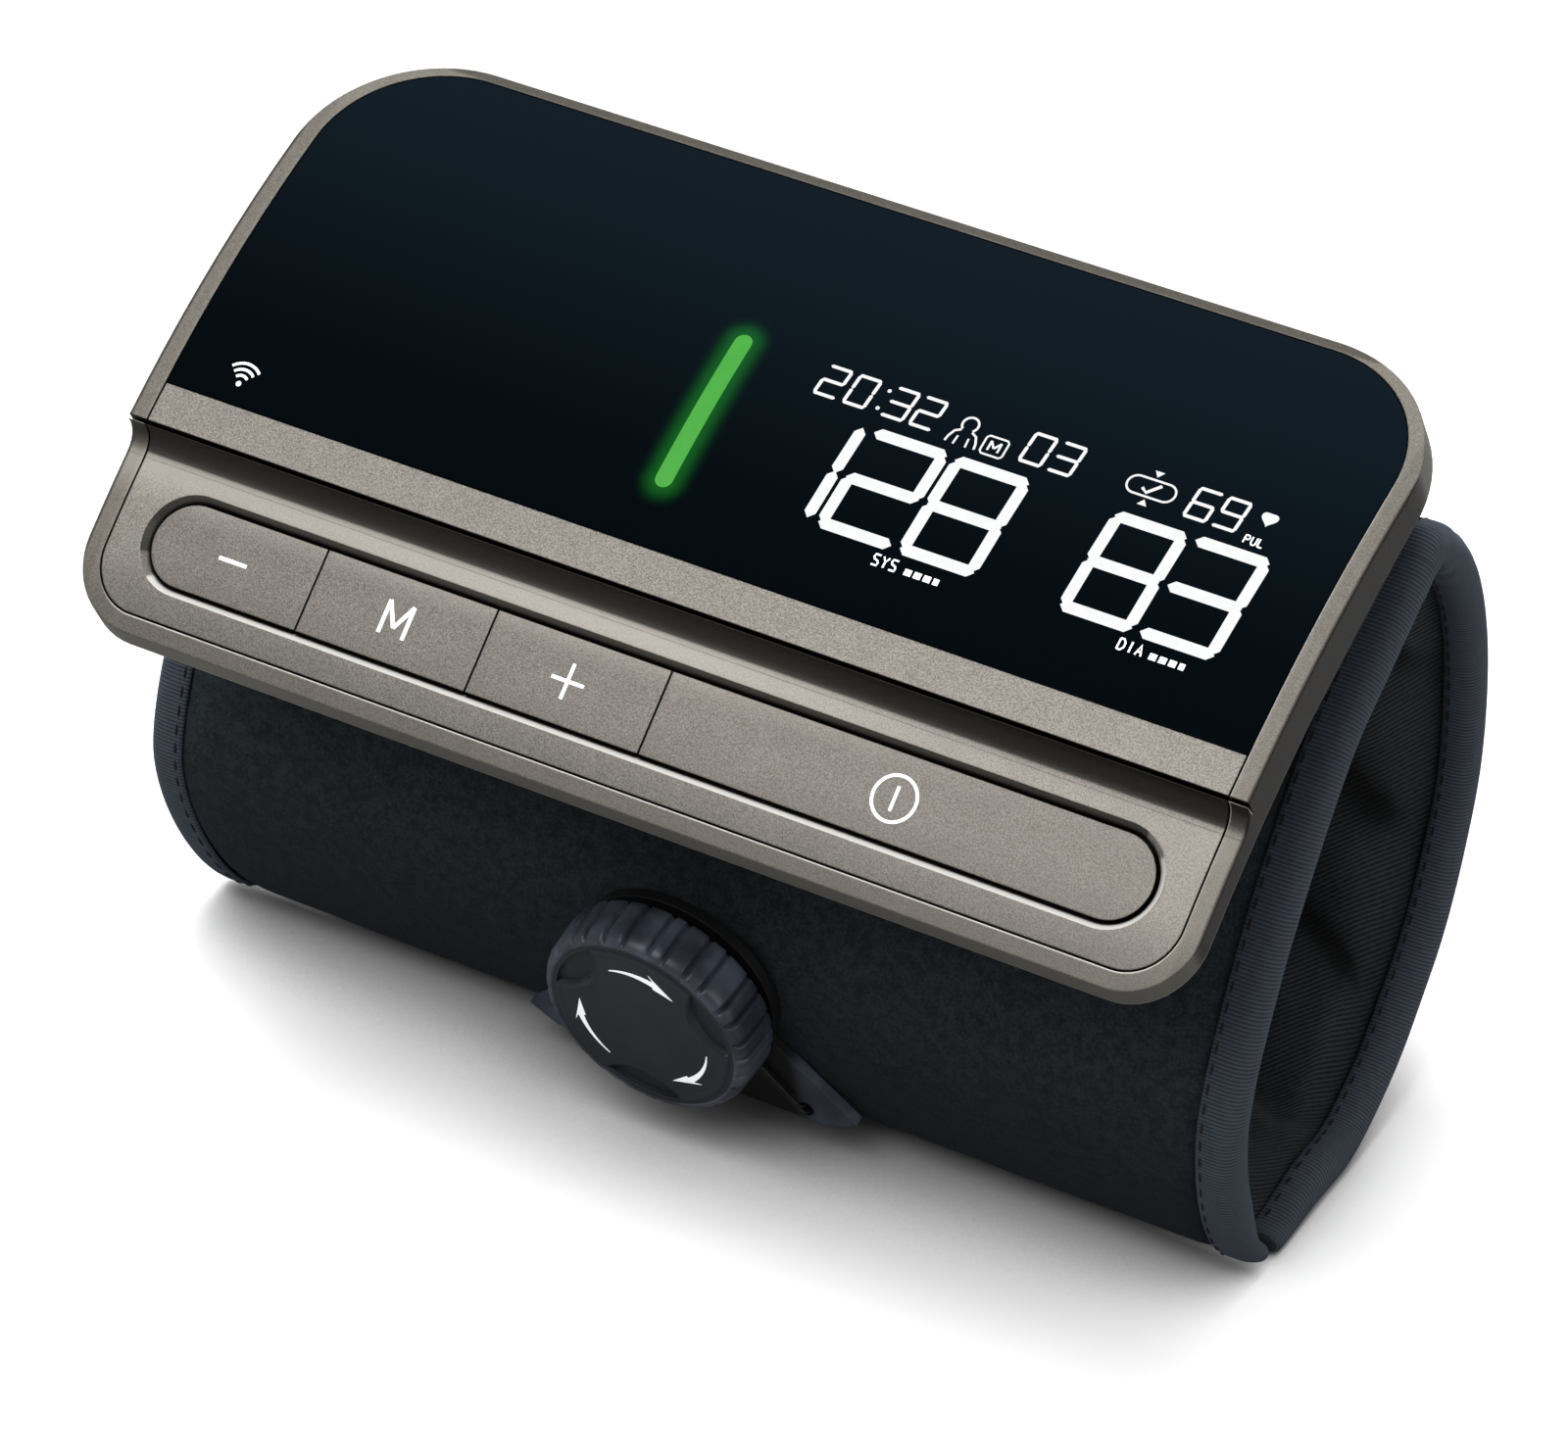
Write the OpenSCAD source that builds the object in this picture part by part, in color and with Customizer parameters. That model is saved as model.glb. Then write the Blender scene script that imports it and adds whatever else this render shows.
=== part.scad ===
// Tubeless upper-arm blood pressure cuff: a control unit with a curved glass front sits on a
// preformed cuff that a lace and a winding dial draw closed.
//
// Frame: +Z up, +X along the arm, -Y towards the user. The origin is on the floor, in the middle
// of the flat that the cuff rests on. The control unit is drawn in its own frame, whose X runs
// along the unit, whose Y runs up the sloping display and whose Z leaves the glass; unit() puts it
// in place. keys() and dial() do the same for the button row and the winding dial.

/* [Control unit] */
// Length of the control unit along the arm
unit_l = 150; // [149:0.5:151]
// Width of the control unit, from the user's side to the back
unit_w = 81.5; // [81:0.25:82]
// Slope of the control unit towards the user, in degrees
unit_tilt = 27.3; // [27:0.1:27.5]
// Height of the display's crown above the floor
unit_z = 86.6; // [86.4:0.1:87.2]
// Radius of the convex front
top_r = 152; // [148:1:156]
// Corner radius at the back, seen from above
corner_back = 17.8; // [15:0.2:19]
// Corner radius at the user's side, seen from above
corner_front = 9; // [8.5:0.5:11]
// Height of the step between the display and the button panel
step_h = 3.27; // [3:0.01:3.4]
// Width of the metallic rim at the two ends
rim_side = 2.4; // [2.2:0.1:2.6]
// Width of the metallic rim at the back
rim_back = 1.3; // [1.2:0.1:1.5]
// Width of the metallic rim at the user's side
rim_front = 2.05; // [1.95:0.05:2.2]

/* [Buttons] */
// Radius of the rounded ends of the button row
key_r = 5.3; // [5:0.1:5.4]
// Half the length of the button row
key_end = 67.2; // [66.6:0.2:67.4]
// Gap between neighbouring buttons
key_gap = 0.25; // [0.2:0.05:0.4]
// Travel of each button
key_travel = 0.5; // [0.3:0.1:0.5]

/* [Cuff] */
// Width of the cuff along the arm
cuff_w = 147.8; // [146:0.2:149]
// Width of the binding tape on the cuff's ends
tape_w = 5.6; // [4.6:0.2:6.6]
// Thickness of the outer and inner fabrics
fabric_t = 0.8; // [0.6:0.1:0.8]
// Thickness of the preformed plastic band
former_t = 1.2; // [1:0.1:1.2]

/* [Closure] */
// Radius of the dial's rubber grip
dial_r = 14; // [13.6:0.1:14.4]
// Downward tilt of the dial's axis, in degrees
dial_tilt = 11; // [10.5:0.5:12]
// Radius of the closure lace
lace_r = 0.4; // [0.3:0.05:0.45]

/* [Hidden] */
$fn = 72;

metal_paint = [0.66, 0.63, 0.60];
dark_plastic = [0.16, 0.17, 0.19];
cuff_fabric = [0.12, 0.14, 0.17];
tape_fabric = [0.24, 0.26, 0.31];
board_green = [0.10, 0.35, 0.20];
steel = [0.70, 0.71, 0.72];

// ---------------------------------------------------------------- frames
unit_y = -9;
crown_y = 4.35;
step_y = -18;
glass_y = -13;
key_y = -29.1;
panel_turn = 1.7;
wall_turn = 1.5;
wall_pivot = [36, -8.35];
eps = 0.01;

module unit() {
    translate([0, unit_y, unit_z]) rotate([unit_tilt, 0, 0]) children();
}

module keys() {
    unit() translate([0, key_y, panel_z(key_y)]) rotate([panel_slope, 0, 0]) children();
}

dial_at = [0, -21.65, 21.6];
module dial() {
    translate(dial_at) rotate([90 + dial_tilt, 0, 0]) children();
}

module along_x(length) {
    rotate([90, 0, 90]) linear_extrude(length, center = true) children();
}

module along_y(length) {
    rotate([90, 0, 0]) linear_extrude(length, center = true) children();
}

module box(low, high) {
    translate(low) cube(high - low);
}

module rod_x(x0, x1, y, z, r) {
    translate([x0, y, z]) rotate([0, 90, 0]) cylinder(r = r, h = x1 - x0);
}

// ---------------------------------------------------------------- the curved front
// Height of the display's surface at a place across the unit.
function top_z(y) = -top_r + sqrt(top_r * top_r - (y - crown_y) * (y - crown_y));

function turned(v, a) = [v[0] * cos(a) - v[1] * sin(a), v[0] * sin(a) + v[1] * cos(a)];

// The button panel continues the display's curve below the step, turned a little steeper.
step_foot = [step_y, top_z(step_y) - step_h];
panel_c = step_foot + turned([crown_y - step_y, -top_r - step_h - step_foot[1]], panel_turn);
wall_c = wall_pivot + turned([crown_y, -top_r - 5] - wall_pivot, wall_turn);

function panel_z(y) = panel_c[1] + sqrt(top_r * top_r - (y - panel_c[0]) * (y - panel_c[0]));
panel_slope = asin((panel_c[0] - key_y) / top_r);

module disc(c, d) {
    translate(c) circle(r = top_r - d, $fn = 240);
}

// Everything at least d below the stepped front, in the unit's side view.
module below_front(d) {
    intersection() {
        disc([crown_y, -top_r], d);
        translate([step_y + d, -60]) square([90, 90]);
    }
    intersection() {
        disc(panel_c, d);
        translate([-90, -60]) square([90 + step_y + d, 90]);
    }
}

// The concave blend at the foot of the step.
blend_r = 3;
module step_blend() {
    translate(step_foot) rotate(panel_slope * 0.7) difference() {
        translate([-blend_r, -1]) square([blend_r + 1, blend_r + 1]);
        translate([-blend_r, blend_r]) circle(r = blend_r);
        translate([0.1, 0.4]) square([2, 4]);
    }
}

// The unit's outline from above, pulled in by its own amount at the sides, back and front.
module outline(side, back, front) {
    l = unit_l / 2 - side;
    b = unit_w / 2 - back;
    f = -unit_w / 2 + front;
    rb = corner_back - side;
    rf = corner_front - side;
    translate([-l, f + rf]) square([2 * l, b - rb - f - rf]);
    translate([-l + rb, b - rb - 1]) square([2 * (l - rb), rb + 1]);
    translate([-l + rf, f]) square([2 * (l - rf), rf + 1]);
    for (s = [-1, 1]) {
        translate([s * (l - rb), b - rb]) circle(r = rb);
        translate([s * (l - rf), f + rf]) circle(r = rf);
    }
}

module outline_prism(side, back, front) {
    translate([0, 0, -30]) linear_extrude(40) outline(side, back, front);
}

// The same outline inside the rim, pulled in by a further gap.
module inside_rim(gap) {
    outline_prism(rim_side + gap, rim_back + gap, rim_front + gap);
}

// ---------------------------------------------------------------- housing
plate_t = 2;
ledge_w = 2.2;
ledge_t = 1.3;
seam = 0.25;
glass_t = 1.1;
glass_tape_t = 0.15;
glass_seat = 0.05 + glass_t + glass_tape_t;
shell_t = 1.6;
column_at = [[-58, 24], [58, 24], [-60, -13.5], [60, -13.5]];
column_r = 2.4;
column_z = -14.5;
screw_seat = -16;
floor_z = -18;

module frame() {
    color(metal_paint) unit() difference() {
        intersection() {
            outline_prism(0, 0, 0);
            along_x(unit_l + 10) difference() {
                union() {
                    below_front(0);
                    step_blend();
                }
                disc(wall_c, 0);
            }
        }
        difference() {
            inside_rim(0);
            along_x(unit_l + 10) below_front(plate_t + 0.05);
        }
        inside_rim(ledge_w);
        intersection() {
            inside_rim(0);
            along_x(unit_l + 10) below_front(plate_t + ledge_t);
        }
    }
}

display_low = [-2, -8, -4.9];
display_high = [68, 20, -2.5];
light_low = [-10, -8, -4.9];
light_high = [-5.2, 19, -2.5];
board_post_at = [[-30, -6], [-30, 27], [14, 27]];

module stadium(r) {
    translate([-key_end + key_r, -r]) square([2 * (key_end - key_r), 2 * r]);
    for (s = [-1, 1]) translate([s * (key_end - key_r), 0]) circle(r = r);
}

// The opening for the buttons, with its sloped edge.
opening_r = key_r + 0.1;
chamfer = 1.05;
module key_opening() {
    translate([0, 0, -6]) linear_extrude(12) stadium(opening_r);
    along_x(2 * (key_end - key_r)) polygon([
        [-opening_r, -chamfer], [opening_r, -chamfer],
        [opening_r + chamfer * 1.4, 0.4], [-opening_r - chamfer * 1.4, 0.4]
    ]);
    for (s = [-1, 1]) translate([s * (key_end - key_r), 0, -chamfer])
        cylinder(r1 = opening_r, r2 = opening_r + chamfer * 1.4, h = chamfer + 0.4);
}

key_post_y = 8.2;
module fascia_plate() {
    color(metal_paint) difference() {
        union() {
            unit() intersection() {
                inside_rim(seam);
                along_x(unit_l) difference() {
                    union() {
                        below_front(0);
                        step_blend();
                    }
                    below_front(plate_t);
                    difference() {
                        translate([glass_y, -30]) square([80, 40]);
                        disc([crown_y, -top_r], glass_seat);
                    }
                }
            }
            unit() for (p = column_at) translate([p[0], p[1], column_z])
                cylinder(r = column_r, h = 11.4);
            unit() for (p = board_post_at) translate([p[0], p[1], -5.15])
                cylinder(r = 1.8, h = p[1] > 0 ? 2 : 3);
            keys() for (s = [-1, 1]) translate([s * 33, key_post_y, -4.7])
                cylinder(r = 1.4, h = 3.4);
        }
        unit() {
            box(display_low - [0.3, 0.3, 5], display_high + [0.3, 0.3, 5]);
            box(light_low - [0.3, 0.3, 5], light_high + [0.3, 0.3, 5]);
            for (p = column_at) translate([p[0], p[1], column_z - 1]) cylinder(r = 1.05, h = 8);
            for (p = board_post_at) translate([p[0], p[1], -6]) cylinder(r = 0.85, h = 2.4);
        }
        keys() {
            key_opening();
            for (s = [-1, 1]) translate([s * 33, key_post_y, -5]) cylinder(r = 0.85, h = 3);
        }
    }
}

module glass_blank(gap, d0, d1) {
    intersection() {
        inside_rim(gap);
        along_x(unit_l) intersection() {
            difference() {
                disc([crown_y, -top_r], d0);
                disc([crown_y, -top_r], d1);
            }
            translate([glass_y + 0.15, -30]) square([80, 40]);
        }
    }
}

module display_glass() {
    color([0.03, 0.04, 0.05]) unit() glass_blank(0.15, 0.05, 0.05 + glass_t);
}

module glass_tape() {
    color([0.05, 0.05, 0.05]) unit() difference() {
        glass_blank(0.6, 0.05 + glass_t, glass_seat);
        intersection() {
            inside_rim(4);
            translate([-100, glass_y + 4, -30]) cube([200, 100, 60]);
        }
    }
}

module display_module() {
    color([0.2, 0.2, 0.22]) unit() box(display_low, display_high);
}

module status_light() {
    color([0.3, 0.7, 0.25]) unit() box(light_low, light_high);
}

// ---------------------------------------------------------------- buttons
key_edges = [-key_end - 2, -44.8, -21.2, 2.4, key_end + 2];
cap_top = -0.45;
flange_z = -2.2;
flange_t = 0.6;
post_z = -3.3;
switch_top = post_z - key_travel - 0.15;
board_top = switch_top - 0.8;
key_posts = [[-56], [-33], [-9.4], [20, 49]];

module key(i) {
    x0 = key_edges[i] + key_gap / 2;
    x1 = key_edges[i + 1] - key_gap / 2;
    color(metal_paint) keys() {
        intersection() {
            union() {
                translate([0, 0, flange_z - eps]) linear_extrude(cap_top - flange_z + eps)
                    stadium(opening_r - key_gap);
                translate([0, 0, flange_z - flange_t]) linear_extrude(flange_t)
                    stadium(opening_r + 0.9);
            }
            box([x0, -10, -10], [x1, 10, 10]);
        }
        for (x = key_posts[i]) translate([x, 0, post_z])
            cylinder(r = 1.5, h = flange_z - post_z - flange_t + eps);
    }
}

module minus_button() { key(0); }
module memory_button() { key(1); }
module plus_button() { key(2); }
module start_button() { key(3); }

module button_board() {
    color(board_green) keys() difference() {
        box([-62, -4.4, board_top - 1], [62, 9.6, board_top]);
        for (s = [-1, 1]) translate([s * 33, key_post_y, board_top - 2]) cylinder(r = 1, h = 3);
    }
}

module tact_switches() {
    color(steel) keys() for (group = key_posts) for (x = group) {
        box([x - 2.2, -2.2, board_top], [x + 2.2, 2.2, board_top + 0.6]);
        translate([x, 0, board_top + 0.5]) cylinder(r = 1.1, h = switch_top - board_top - 0.5);
    }
}

// ---------------------------------------------------------------- electronics
board_low = [-66, -10, -6.4];
board_high = [20, 30, -5.2];
under_board = -6.45;

module main_board() {
    color(board_green) unit() difference() {
        box(board_low, board_high);
        translate([-58, 24, -10]) cylinder(r = column_r + 0.4, h = 10);
        for (p = board_post_at) translate([p[0], p[1], -10]) cylinder(r = 0.95, h = 10);
    }
}

module board_parts() {
    color([0.1, 0.1, 0.1]) unit() {
        box([-49, -9.5, under_board - 1.2], [-40, -0.5, under_board]);
        box([-20, -9.5, under_board - 1.2], [-10, -2.5, under_board]);
        box([0, -9, under_board - 1.6], [8, -1, under_board]);
    }
}

module small_screw(head_z, tip_z, r, head_r, head_h) {
    translate([0, 0, head_z - head_h]) cylinder(r = head_r, h = head_h);
    translate([0, 0, head_z - eps]) cylinder(r = r, h = tip_z - head_z);
}

module board_screws() {
    color(steel) {
        unit() for (p = board_post_at) translate([p[0], p[1], 0])
            small_screw(under_board, -3.8, 0.8, 1.8, 0.9);
        keys() for (s = [-1, 1]) translate([s * 33, key_post_y, 0])
            small_screw(board_top - 1.02, -2.4, 0.8, 1.5, 0.8);
    }
}

module battery_pack() {
    color([0.35, 0.37, 0.42]) unit() box([-53, 1, -15], [-15, 26, -8.4]);
}

module battery_lead() {
    color([0.7, 0.1, 0.1]) unit() for (y = [4, 6]) {
        rod_x(-14.95, -12, y, -10, 0.5);
        translate([-12, y, -10]) sphere(r = 0.5);
        translate([-12, y, -10]) cylinder(r = 0.5, h = 3.5);
    }
}

module buzzer() {
    color(dark_plastic) unit() translate([-61, 15, under_board - 2.7]) difference() {
        cylinder(r = 4, h = 2.7);
        translate([0, 0, -1]) cylinder(r = 0.7, h = 2);
    }
}

module wireless_module() {
    color(steel) unit() box([-65.5, -9.5, under_board - 1.8], [-56, -1.5, under_board]);
}

socket_low = [-72.25, 1.5, -9.7];
socket_high = [-64.5, 10.5, under_board];
module charging_socket() {
    color(steel) unit() difference() {
        box(socket_low, socket_high);
        box(socket_low + [-1, 0.4, 0.4], socket_high + [-2, -0.4, -0.4]);
    }
    color(dark_plastic) unit() box([-71.5, 2.8, -8.4], [-66.4, 9.2, -7.7]);
}

// ---------------------------------------------------------------- air path
pump_y = 8;
pump_z = -10.7;
can_r = 5.2;
nipple_r = 0.95;
air_z = -12;
valve_y = 21;
sensor_y = 14;
port_at = [13, 14.5];

module pump_motor() {
    color(steel) unit() difference() {
        rod_x(42, 58, pump_y, pump_z, can_r);
        rod_x(43, 57, pump_y, pump_z, 4.4);
        rod_x(41, 44, pump_y, pump_z, 0.8);
    }
}

module pump_rotor() {
    color([0.55, 0.35, 0.2]) unit() {
        rod_x(43.4, 56.6, pump_y, pump_z, 4.2);
        rod_x(37, 43.5, pump_y, pump_z, 0.75);
        rod_x(37, 39.5, pump_y, pump_z + 0.8, 1.7);
    }
}

module pump_head() {
    color(dark_plastic) unit() {
        difference() {
            box([24, 2.6, -16], [41.8, 13.4, -5.4]);
            rod_x(36, 42, pump_y, pump_z, 3);
            rod_x(23, 30, pump_y, air_z, 0.5);
        }
        difference() {
            rod_x(21.5, 24 + eps, pump_y, air_z, nipple_r);
            rod_x(21, 25, pump_y, air_z, 0.5);
        }
    }
}

module pump_cushion() {
    color([0.1, 0.1, 0.1]) unit() difference() {
        rod_x(44, 56, pump_y, pump_z, can_r + 0.4);
        rod_x(43, 57, pump_y, pump_z, can_r);
    }
}

module release_valve() {
    color([0.3, 0.3, 0.32]) unit() {
        difference() {
            box([24, 17, -16], [34, 25, -8]);
            rod_x(28, 35, valve_y, air_z, 1.25);
            rod_x(23, 28.5, valve_y, air_z, 0.5);
        }
        difference() {
            rod_x(21.5, 24 + eps, valve_y, air_z, nipple_r);
            rod_x(21, 25, valve_y, air_z, 0.5);
        }
    }
}

module valve_plunger() {
    color(steel) unit() {
        rod_x(28.9, 37, valve_y, air_z, 1.2);
        rod_x(35, 37, valve_y, air_z, 1.8);
    }
}

module pressure_sensor() {
    color([0.75, 0.75, 0.72]) unit() {
        box([-9, sensor_y - 3.5, under_board - 3], [-2, sensor_y + 3.5, under_board]);
        box([-8, sensor_y - 2.5, air_z - 2], [-3, sensor_y + 2.5, under_board - 3 + eps]);
        rod_x(-3 - eps, -0.5, sensor_y, air_z, nipple_r);
    }
}

module air_manifold() {
    color(dark_plastic) unit() difference() {
        union() {
            box([8, 5, -15.1], [18, 24, -9]);
            for (y = [pump_y, valve_y]) rod_x(18 - eps, 20.5, y, air_z, nipple_r);
            rod_x(5.5, 8 + eps, sensor_y, air_z, nipple_r);
        }
        for (y = [pump_y, valve_y]) rod_x(12, 21, y, air_z, 0.5);
        rod_x(5, 14, sensor_y, air_z, 0.5);
        translate([13, 23, air_z]) rotate([90, 0, 0]) cylinder(r = 0.8, h = 16.5);
        translate([port_at[0], port_at[1], -16]) cylinder(r = 2.45, h = 2.5);
        translate([port_at[0], port_at[1], -14]) cylinder(r = 0.8, h = 2.5);
    }
}

module hose(x0, x1, y) {
    difference() {
        rod_x(x0, x1, y, air_z, 1.9);
        rod_x(x0 - 1, x1 + 1, y, air_z, nipple_r + 0.05);
    }
}

module air_hoses() {
    color([0.75, 0.75, 0.7]) unit() {
        hose(18.05, 23.95, pump_y);
        hose(18.05, 23.95, valve_y);
        hose(-2.95, 7.95, sensor_y);
    }
}

// ---------------------------------------------------------------- lower shell and bracket
bracket_at = [for (x = [-19, 19]) for (y = [13, 23]) [x, y]];
shell_top = plate_t + ledge_t + 0.1;
shell_gap = 0.15;

module shell_blank(side, yz, xz) {
    intersection() {
        inside_rim(shell_gap + side);
        along_x(unit_l) polygon(yz);
        along_y(unit_w) polygon(xz);
    }
}

shell_yz = [
    [-60, 10], [-60, -13.5], [-38.5, -13.5], [-30, -17], [8, floor_z], [30, floor_z],
    [39.4, -9.5], [60, -9.5], [60, 10]
];
cavity_yz = [
    [-60, 12], [-60, -12.2], [-36.9, -12.2], [-29.6, -15.4], [8, floor_z + shell_t],
    [29.4, floor_z + shell_t], [37.8, -8.8], [60, -8.8], [60, 12]
];
function wedge(half, z0, foot, z1) = [
    [-90, 12], [-90, z0], [-half, z0], [-foot, z1], [foot, z1], [half, z0], [90, z0], [90, 12]
];

module lower_shell() {
    color(dark_plastic) unit() difference() {
        shell_blank(0, shell_yz, wedge(72.3, -12.5, 65, floor_z));
        difference() {
            shell_blank(shell_t, cavity_yz, wedge(70.7, -11.9, 64, floor_z + shell_t));
            for (p = column_at) translate([p[0], p[1], -30])
                cylinder(r = 3.2, h = 30 + column_z - 0.05);
        }
        difference() {
            box([-90, -60, -30], [90, 60, 20]);
            along_x(unit_l + 60) below_front(shell_top);
        }
        for (p = column_at) translate([p[0], p[1], -30]) {
            cylinder(r = 2.45, h = 30 + screw_seat);
            cylinder(r = 1.3, h = 30);
        }
        for (p = bracket_at) translate([p[0], p[1], -30]) cylinder(r = 1.15, h = 20);
        translate([port_at[0], port_at[1], -30]) cylinder(r = 2.5, h = 20);
        box([-80, socket_low[1] - 0.2, socket_low[2] - 0.2], [-66, socket_high[1] + 0.2, -6.2]);
    }
}

module housing_screws() {
    color(steel) unit() for (p = column_at) translate([p[0], p[1], 0]) difference() {
        small_screw(screw_seat - 0.02, -8, 1, 2.2, 1.3);
        translate([-1.4, -0.25, -18]) cube([2.8, 0.5, 1.2]);
        translate([-0.25, -1.4, -18]) cube([0.5, 2.8, 1.2]);
    }
}

bracket_low = [-30, 10, -24];
bracket_high = [30, 26, floor_z - 0.05];
module cuff_bracket() {
    color(dark_plastic) difference() {
        unit() difference() {
            box(bracket_low, bracket_high);
            for (p = bracket_at) translate([p[0], p[1], -19.5]) cylinder(r = 1.05, h = 5);
            translate([port_at[0], port_at[1], -30]) cylinder(r = 2.5, h = 20);
        }
        along_x(unit_l) polygon(section_points(0, 7, former_d - 0.05));
    }
}

module bracket_screws() {
    color(steel) unit() for (p = bracket_at) translate([p[0], p[1], 0]) {
        translate([0, 0, -16.38]) cylinder(r = 2, h = 1.15);
        translate([0, 0, -19.4]) cylinder(r = 1, h = 3.2);
    }
}

module air_port() {
    color([0.8, 0.8, 0.78]) unit() translate([port_at[0], port_at[1], -23.2]) difference() {
        cylinder(r = 2.4, h = 9.5);
        translate([0, 0, -1]) cylinder(r = 1.2, h = 12);
    }
}

module port_seal() {
    color([0.1, 0.1, 0.1]) unit() translate([port_at[0], port_at[1], -15.75])
        rotate_extrude() translate([3.05, 0]) circle(r = 0.58);
}

// ---------------------------------------------------------------- the cuff's cross-section
// The section is a closed chain of seven cubic curves, run clockwise from the crown in front of
// the bracket, over the crease at the back, round the far side, along the flat rest and up the
// near side. Place u from 0 to 7 counts along it.
crown_p = [6.2, 70.9];
crown_dir = 36;
crease_c = [25.2, 77.6];
crease_r = 5.2;
crease_in = 33;
crease_out = -39;
rear_p = [41.3, 47.5];
rest_half = 8;
front_p = [-21.4, 24.6];

function ray2(a) = [cos(a), sin(a)];
function run(p0, a0, h0, p1, a1, h1) = [p0, p0 + h0 * ray2(a0), p1 - h1 * ray2(a1), p1];
crease_a = crease_c + crease_r * ray2(crease_in + 90);
crease_b = crease_c + crease_r * ray2(crease_out + 90);
crease_h = crease_r * 4 / 3 * tan((crease_in - crease_out) / 4);
curves = [
    run(crown_p, crown_dir, 6, crease_a, crease_in, 6),
    run(crease_a, crease_in, crease_h, crease_b, crease_out, crease_h),
    run(crease_b, crease_out, 13, rear_p, -90, 12.5),
    run(rear_p, -90, 26, [rest_half, 0], 180, 11),
    run([rest_half, 0], 180, 5, [-rest_half, 0], 180, 5),
    run([-rest_half, 0], 180, 7.6, front_p, 90, 12.5),
    run(front_p, 90, 10, crown_p, crown_dir, 14.8)
];

function cubic(c, t) =
    pow(1 - t, 3) * c[0] + 3 * pow(1 - t, 2) * t * c[1] + 3 * (1 - t) * t * t * c[2]
    + pow(t, 3) * c[3];
function heading(c, t) =
    let (v = pow(1 - t, 2) * (c[1] - c[0]) + 2 * (1 - t) * t * (c[2] - c[1])
        + t * t * (c[3] - c[2])) v / norm(v);
// The point at place u, a depth d inside the outer fabric's surface.
function section_point(u, d) =
    let (i = min(floor(u), 6), g = heading(curves[i], u - i))
    cubic(curves[i], u - i) + d * [g[1], -g[0]];
steps = 9;
function places(u0, u1) = [
    u0, for (k = [floor(u0 * steps) + 1 : ceil(u1 * steps) - 1]) k / steps, u1
];
function section_points(u0, u1, d) = [for (u = places(u0, u1)) section_point(u, d)];
function reversed(list) = [for (i = [len(list) - 1 : -1 : 0]) list[i]];

// A layer of the cuff between two depths, over a stretch of the section.
module layer(u0, u1, d0, d1, length) {
    along_x(length) polygon(concat(section_points(u0, u1, d0),
        reversed(section_points(u0, u1, d1))));
}

// The rear part runs from the crown to the rest; the front part from the slit to the crown.
rear_u0 = 0.02;
rear_u1 = 5.04;
front_u0 = 5.15;
front_u1 = 6.985;
wall_d = 4.7;
layer_gap = 0.1;
former_d = fabric_t + layer_gap;
bladder_d = former_d + former_t + layer_gap;
bladder_t = 1.6;
lining_d = wall_d - fabric_t;
hem = 0.08;
fabric_w = cuff_w - 2 * tape_w - 0.2;
former_w = cuff_w - 1.6;
bladder_w = cuff_w - 20;

module bracket_window() {
    unit() box(bracket_low - [0.3, 0.3, 0], bracket_high + [0.3, 0.3, 5]);
}

module port_hole(depth_z) {
    unit() translate([port_at[0], port_at[1], depth_z]) cylinder(r = 2.5, h = 10);
}

module sleeve_rear() {
    color(cuff_fabric) difference() {
        layer(rear_u0, rear_u1, 0, fabric_t, fabric_w);
        bracket_window();
    }
}

module sleeve_front() {
    color(cuff_fabric) difference() {
        layer(front_u0, front_u1, 0, fabric_t, fabric_w);
        lace_run(lace_r + 0.2);
    }
}

module lining_rear() {
    color(cuff_fabric) layer(rear_u0, rear_u1 - hem, lining_d, wall_d, fabric_w);
}

module lining_front() {
    color(cuff_fabric) layer(front_u0 + hem, front_u1, lining_d, wall_d, fabric_w);
}

module former_rear() {
    color([0.3, 0.3, 0.32]) difference() {
        layer(rear_u0, rear_u1, former_d, former_d + former_t, former_w);
        port_hole(-26);
        guide_seats();
        lace_run(lace_r + 0.2);
    }
}

module former_front() {
    color([0.3, 0.3, 0.32]) difference() {
        layer(front_u0 + hem / 2, front_u1, former_d, former_d + former_t, former_w);
        guide_seats();
        lace_run(lace_r + 0.2);
    }
}

module bladder_rear() {
    color([0.45, 0.45, 0.42]) difference() {
        layer(0.15, 4.5, bladder_d, bladder_d + bladder_t, bladder_w);
        port_hole(-23.5);
    }
}

module bladder_front() {
    color([0.45, 0.45, 0.42]) layer(5.6, 6.85, bladder_d, bladder_d + bladder_t, bladder_w);
}

module edge_tape(u0, u1) {
    color(tape_fabric) for (s = [-1, 1]) translate([s * (cuff_w - tape_w) / 2, 0, 0]) {
        difference() {
            layer(u0, u1, 0, wall_d, tape_w);
            translate([-s * 0.6, 0, 0]) along_x(tape_w) polygon(concat(
                section_points(u0, u1, 0.6), reversed(section_points(u0, u1, wall_d - 0.6))));
        }
    }
}

module edge_tape_rear() { edge_tape(rear_u0, rear_u1); }
module edge_tape_front() { edge_tape(front_u0, front_u1); }

// The tongue is sewn to the rear part's lining and passes behind the slit.
tongue_w = 120;
tongue_u0 = 4.3;
tongue_u1 = 5.55;
function tongue_d(u) = wall_d + 0.05 + 2.2 * max(0, u - 4.8) / (tongue_u1 - 4.8);
module closure_tongue() {
    us = places(tongue_u0, tongue_u1);
    color(cuff_fabric) along_x(tongue_w) polygon(concat(
        [for (u = us) section_point(u, tongue_d(u))],
        reversed([for (u = us) section_point(u, tongue_d(u) + 0.9)])));
}

// ---------------------------------------------------------------- lace and guides
slot_at = [16, -15.5];
lace_z = 2.12;
guide_x = 18.5;
guide_r = 1;
mid_d = 2.2;

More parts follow.
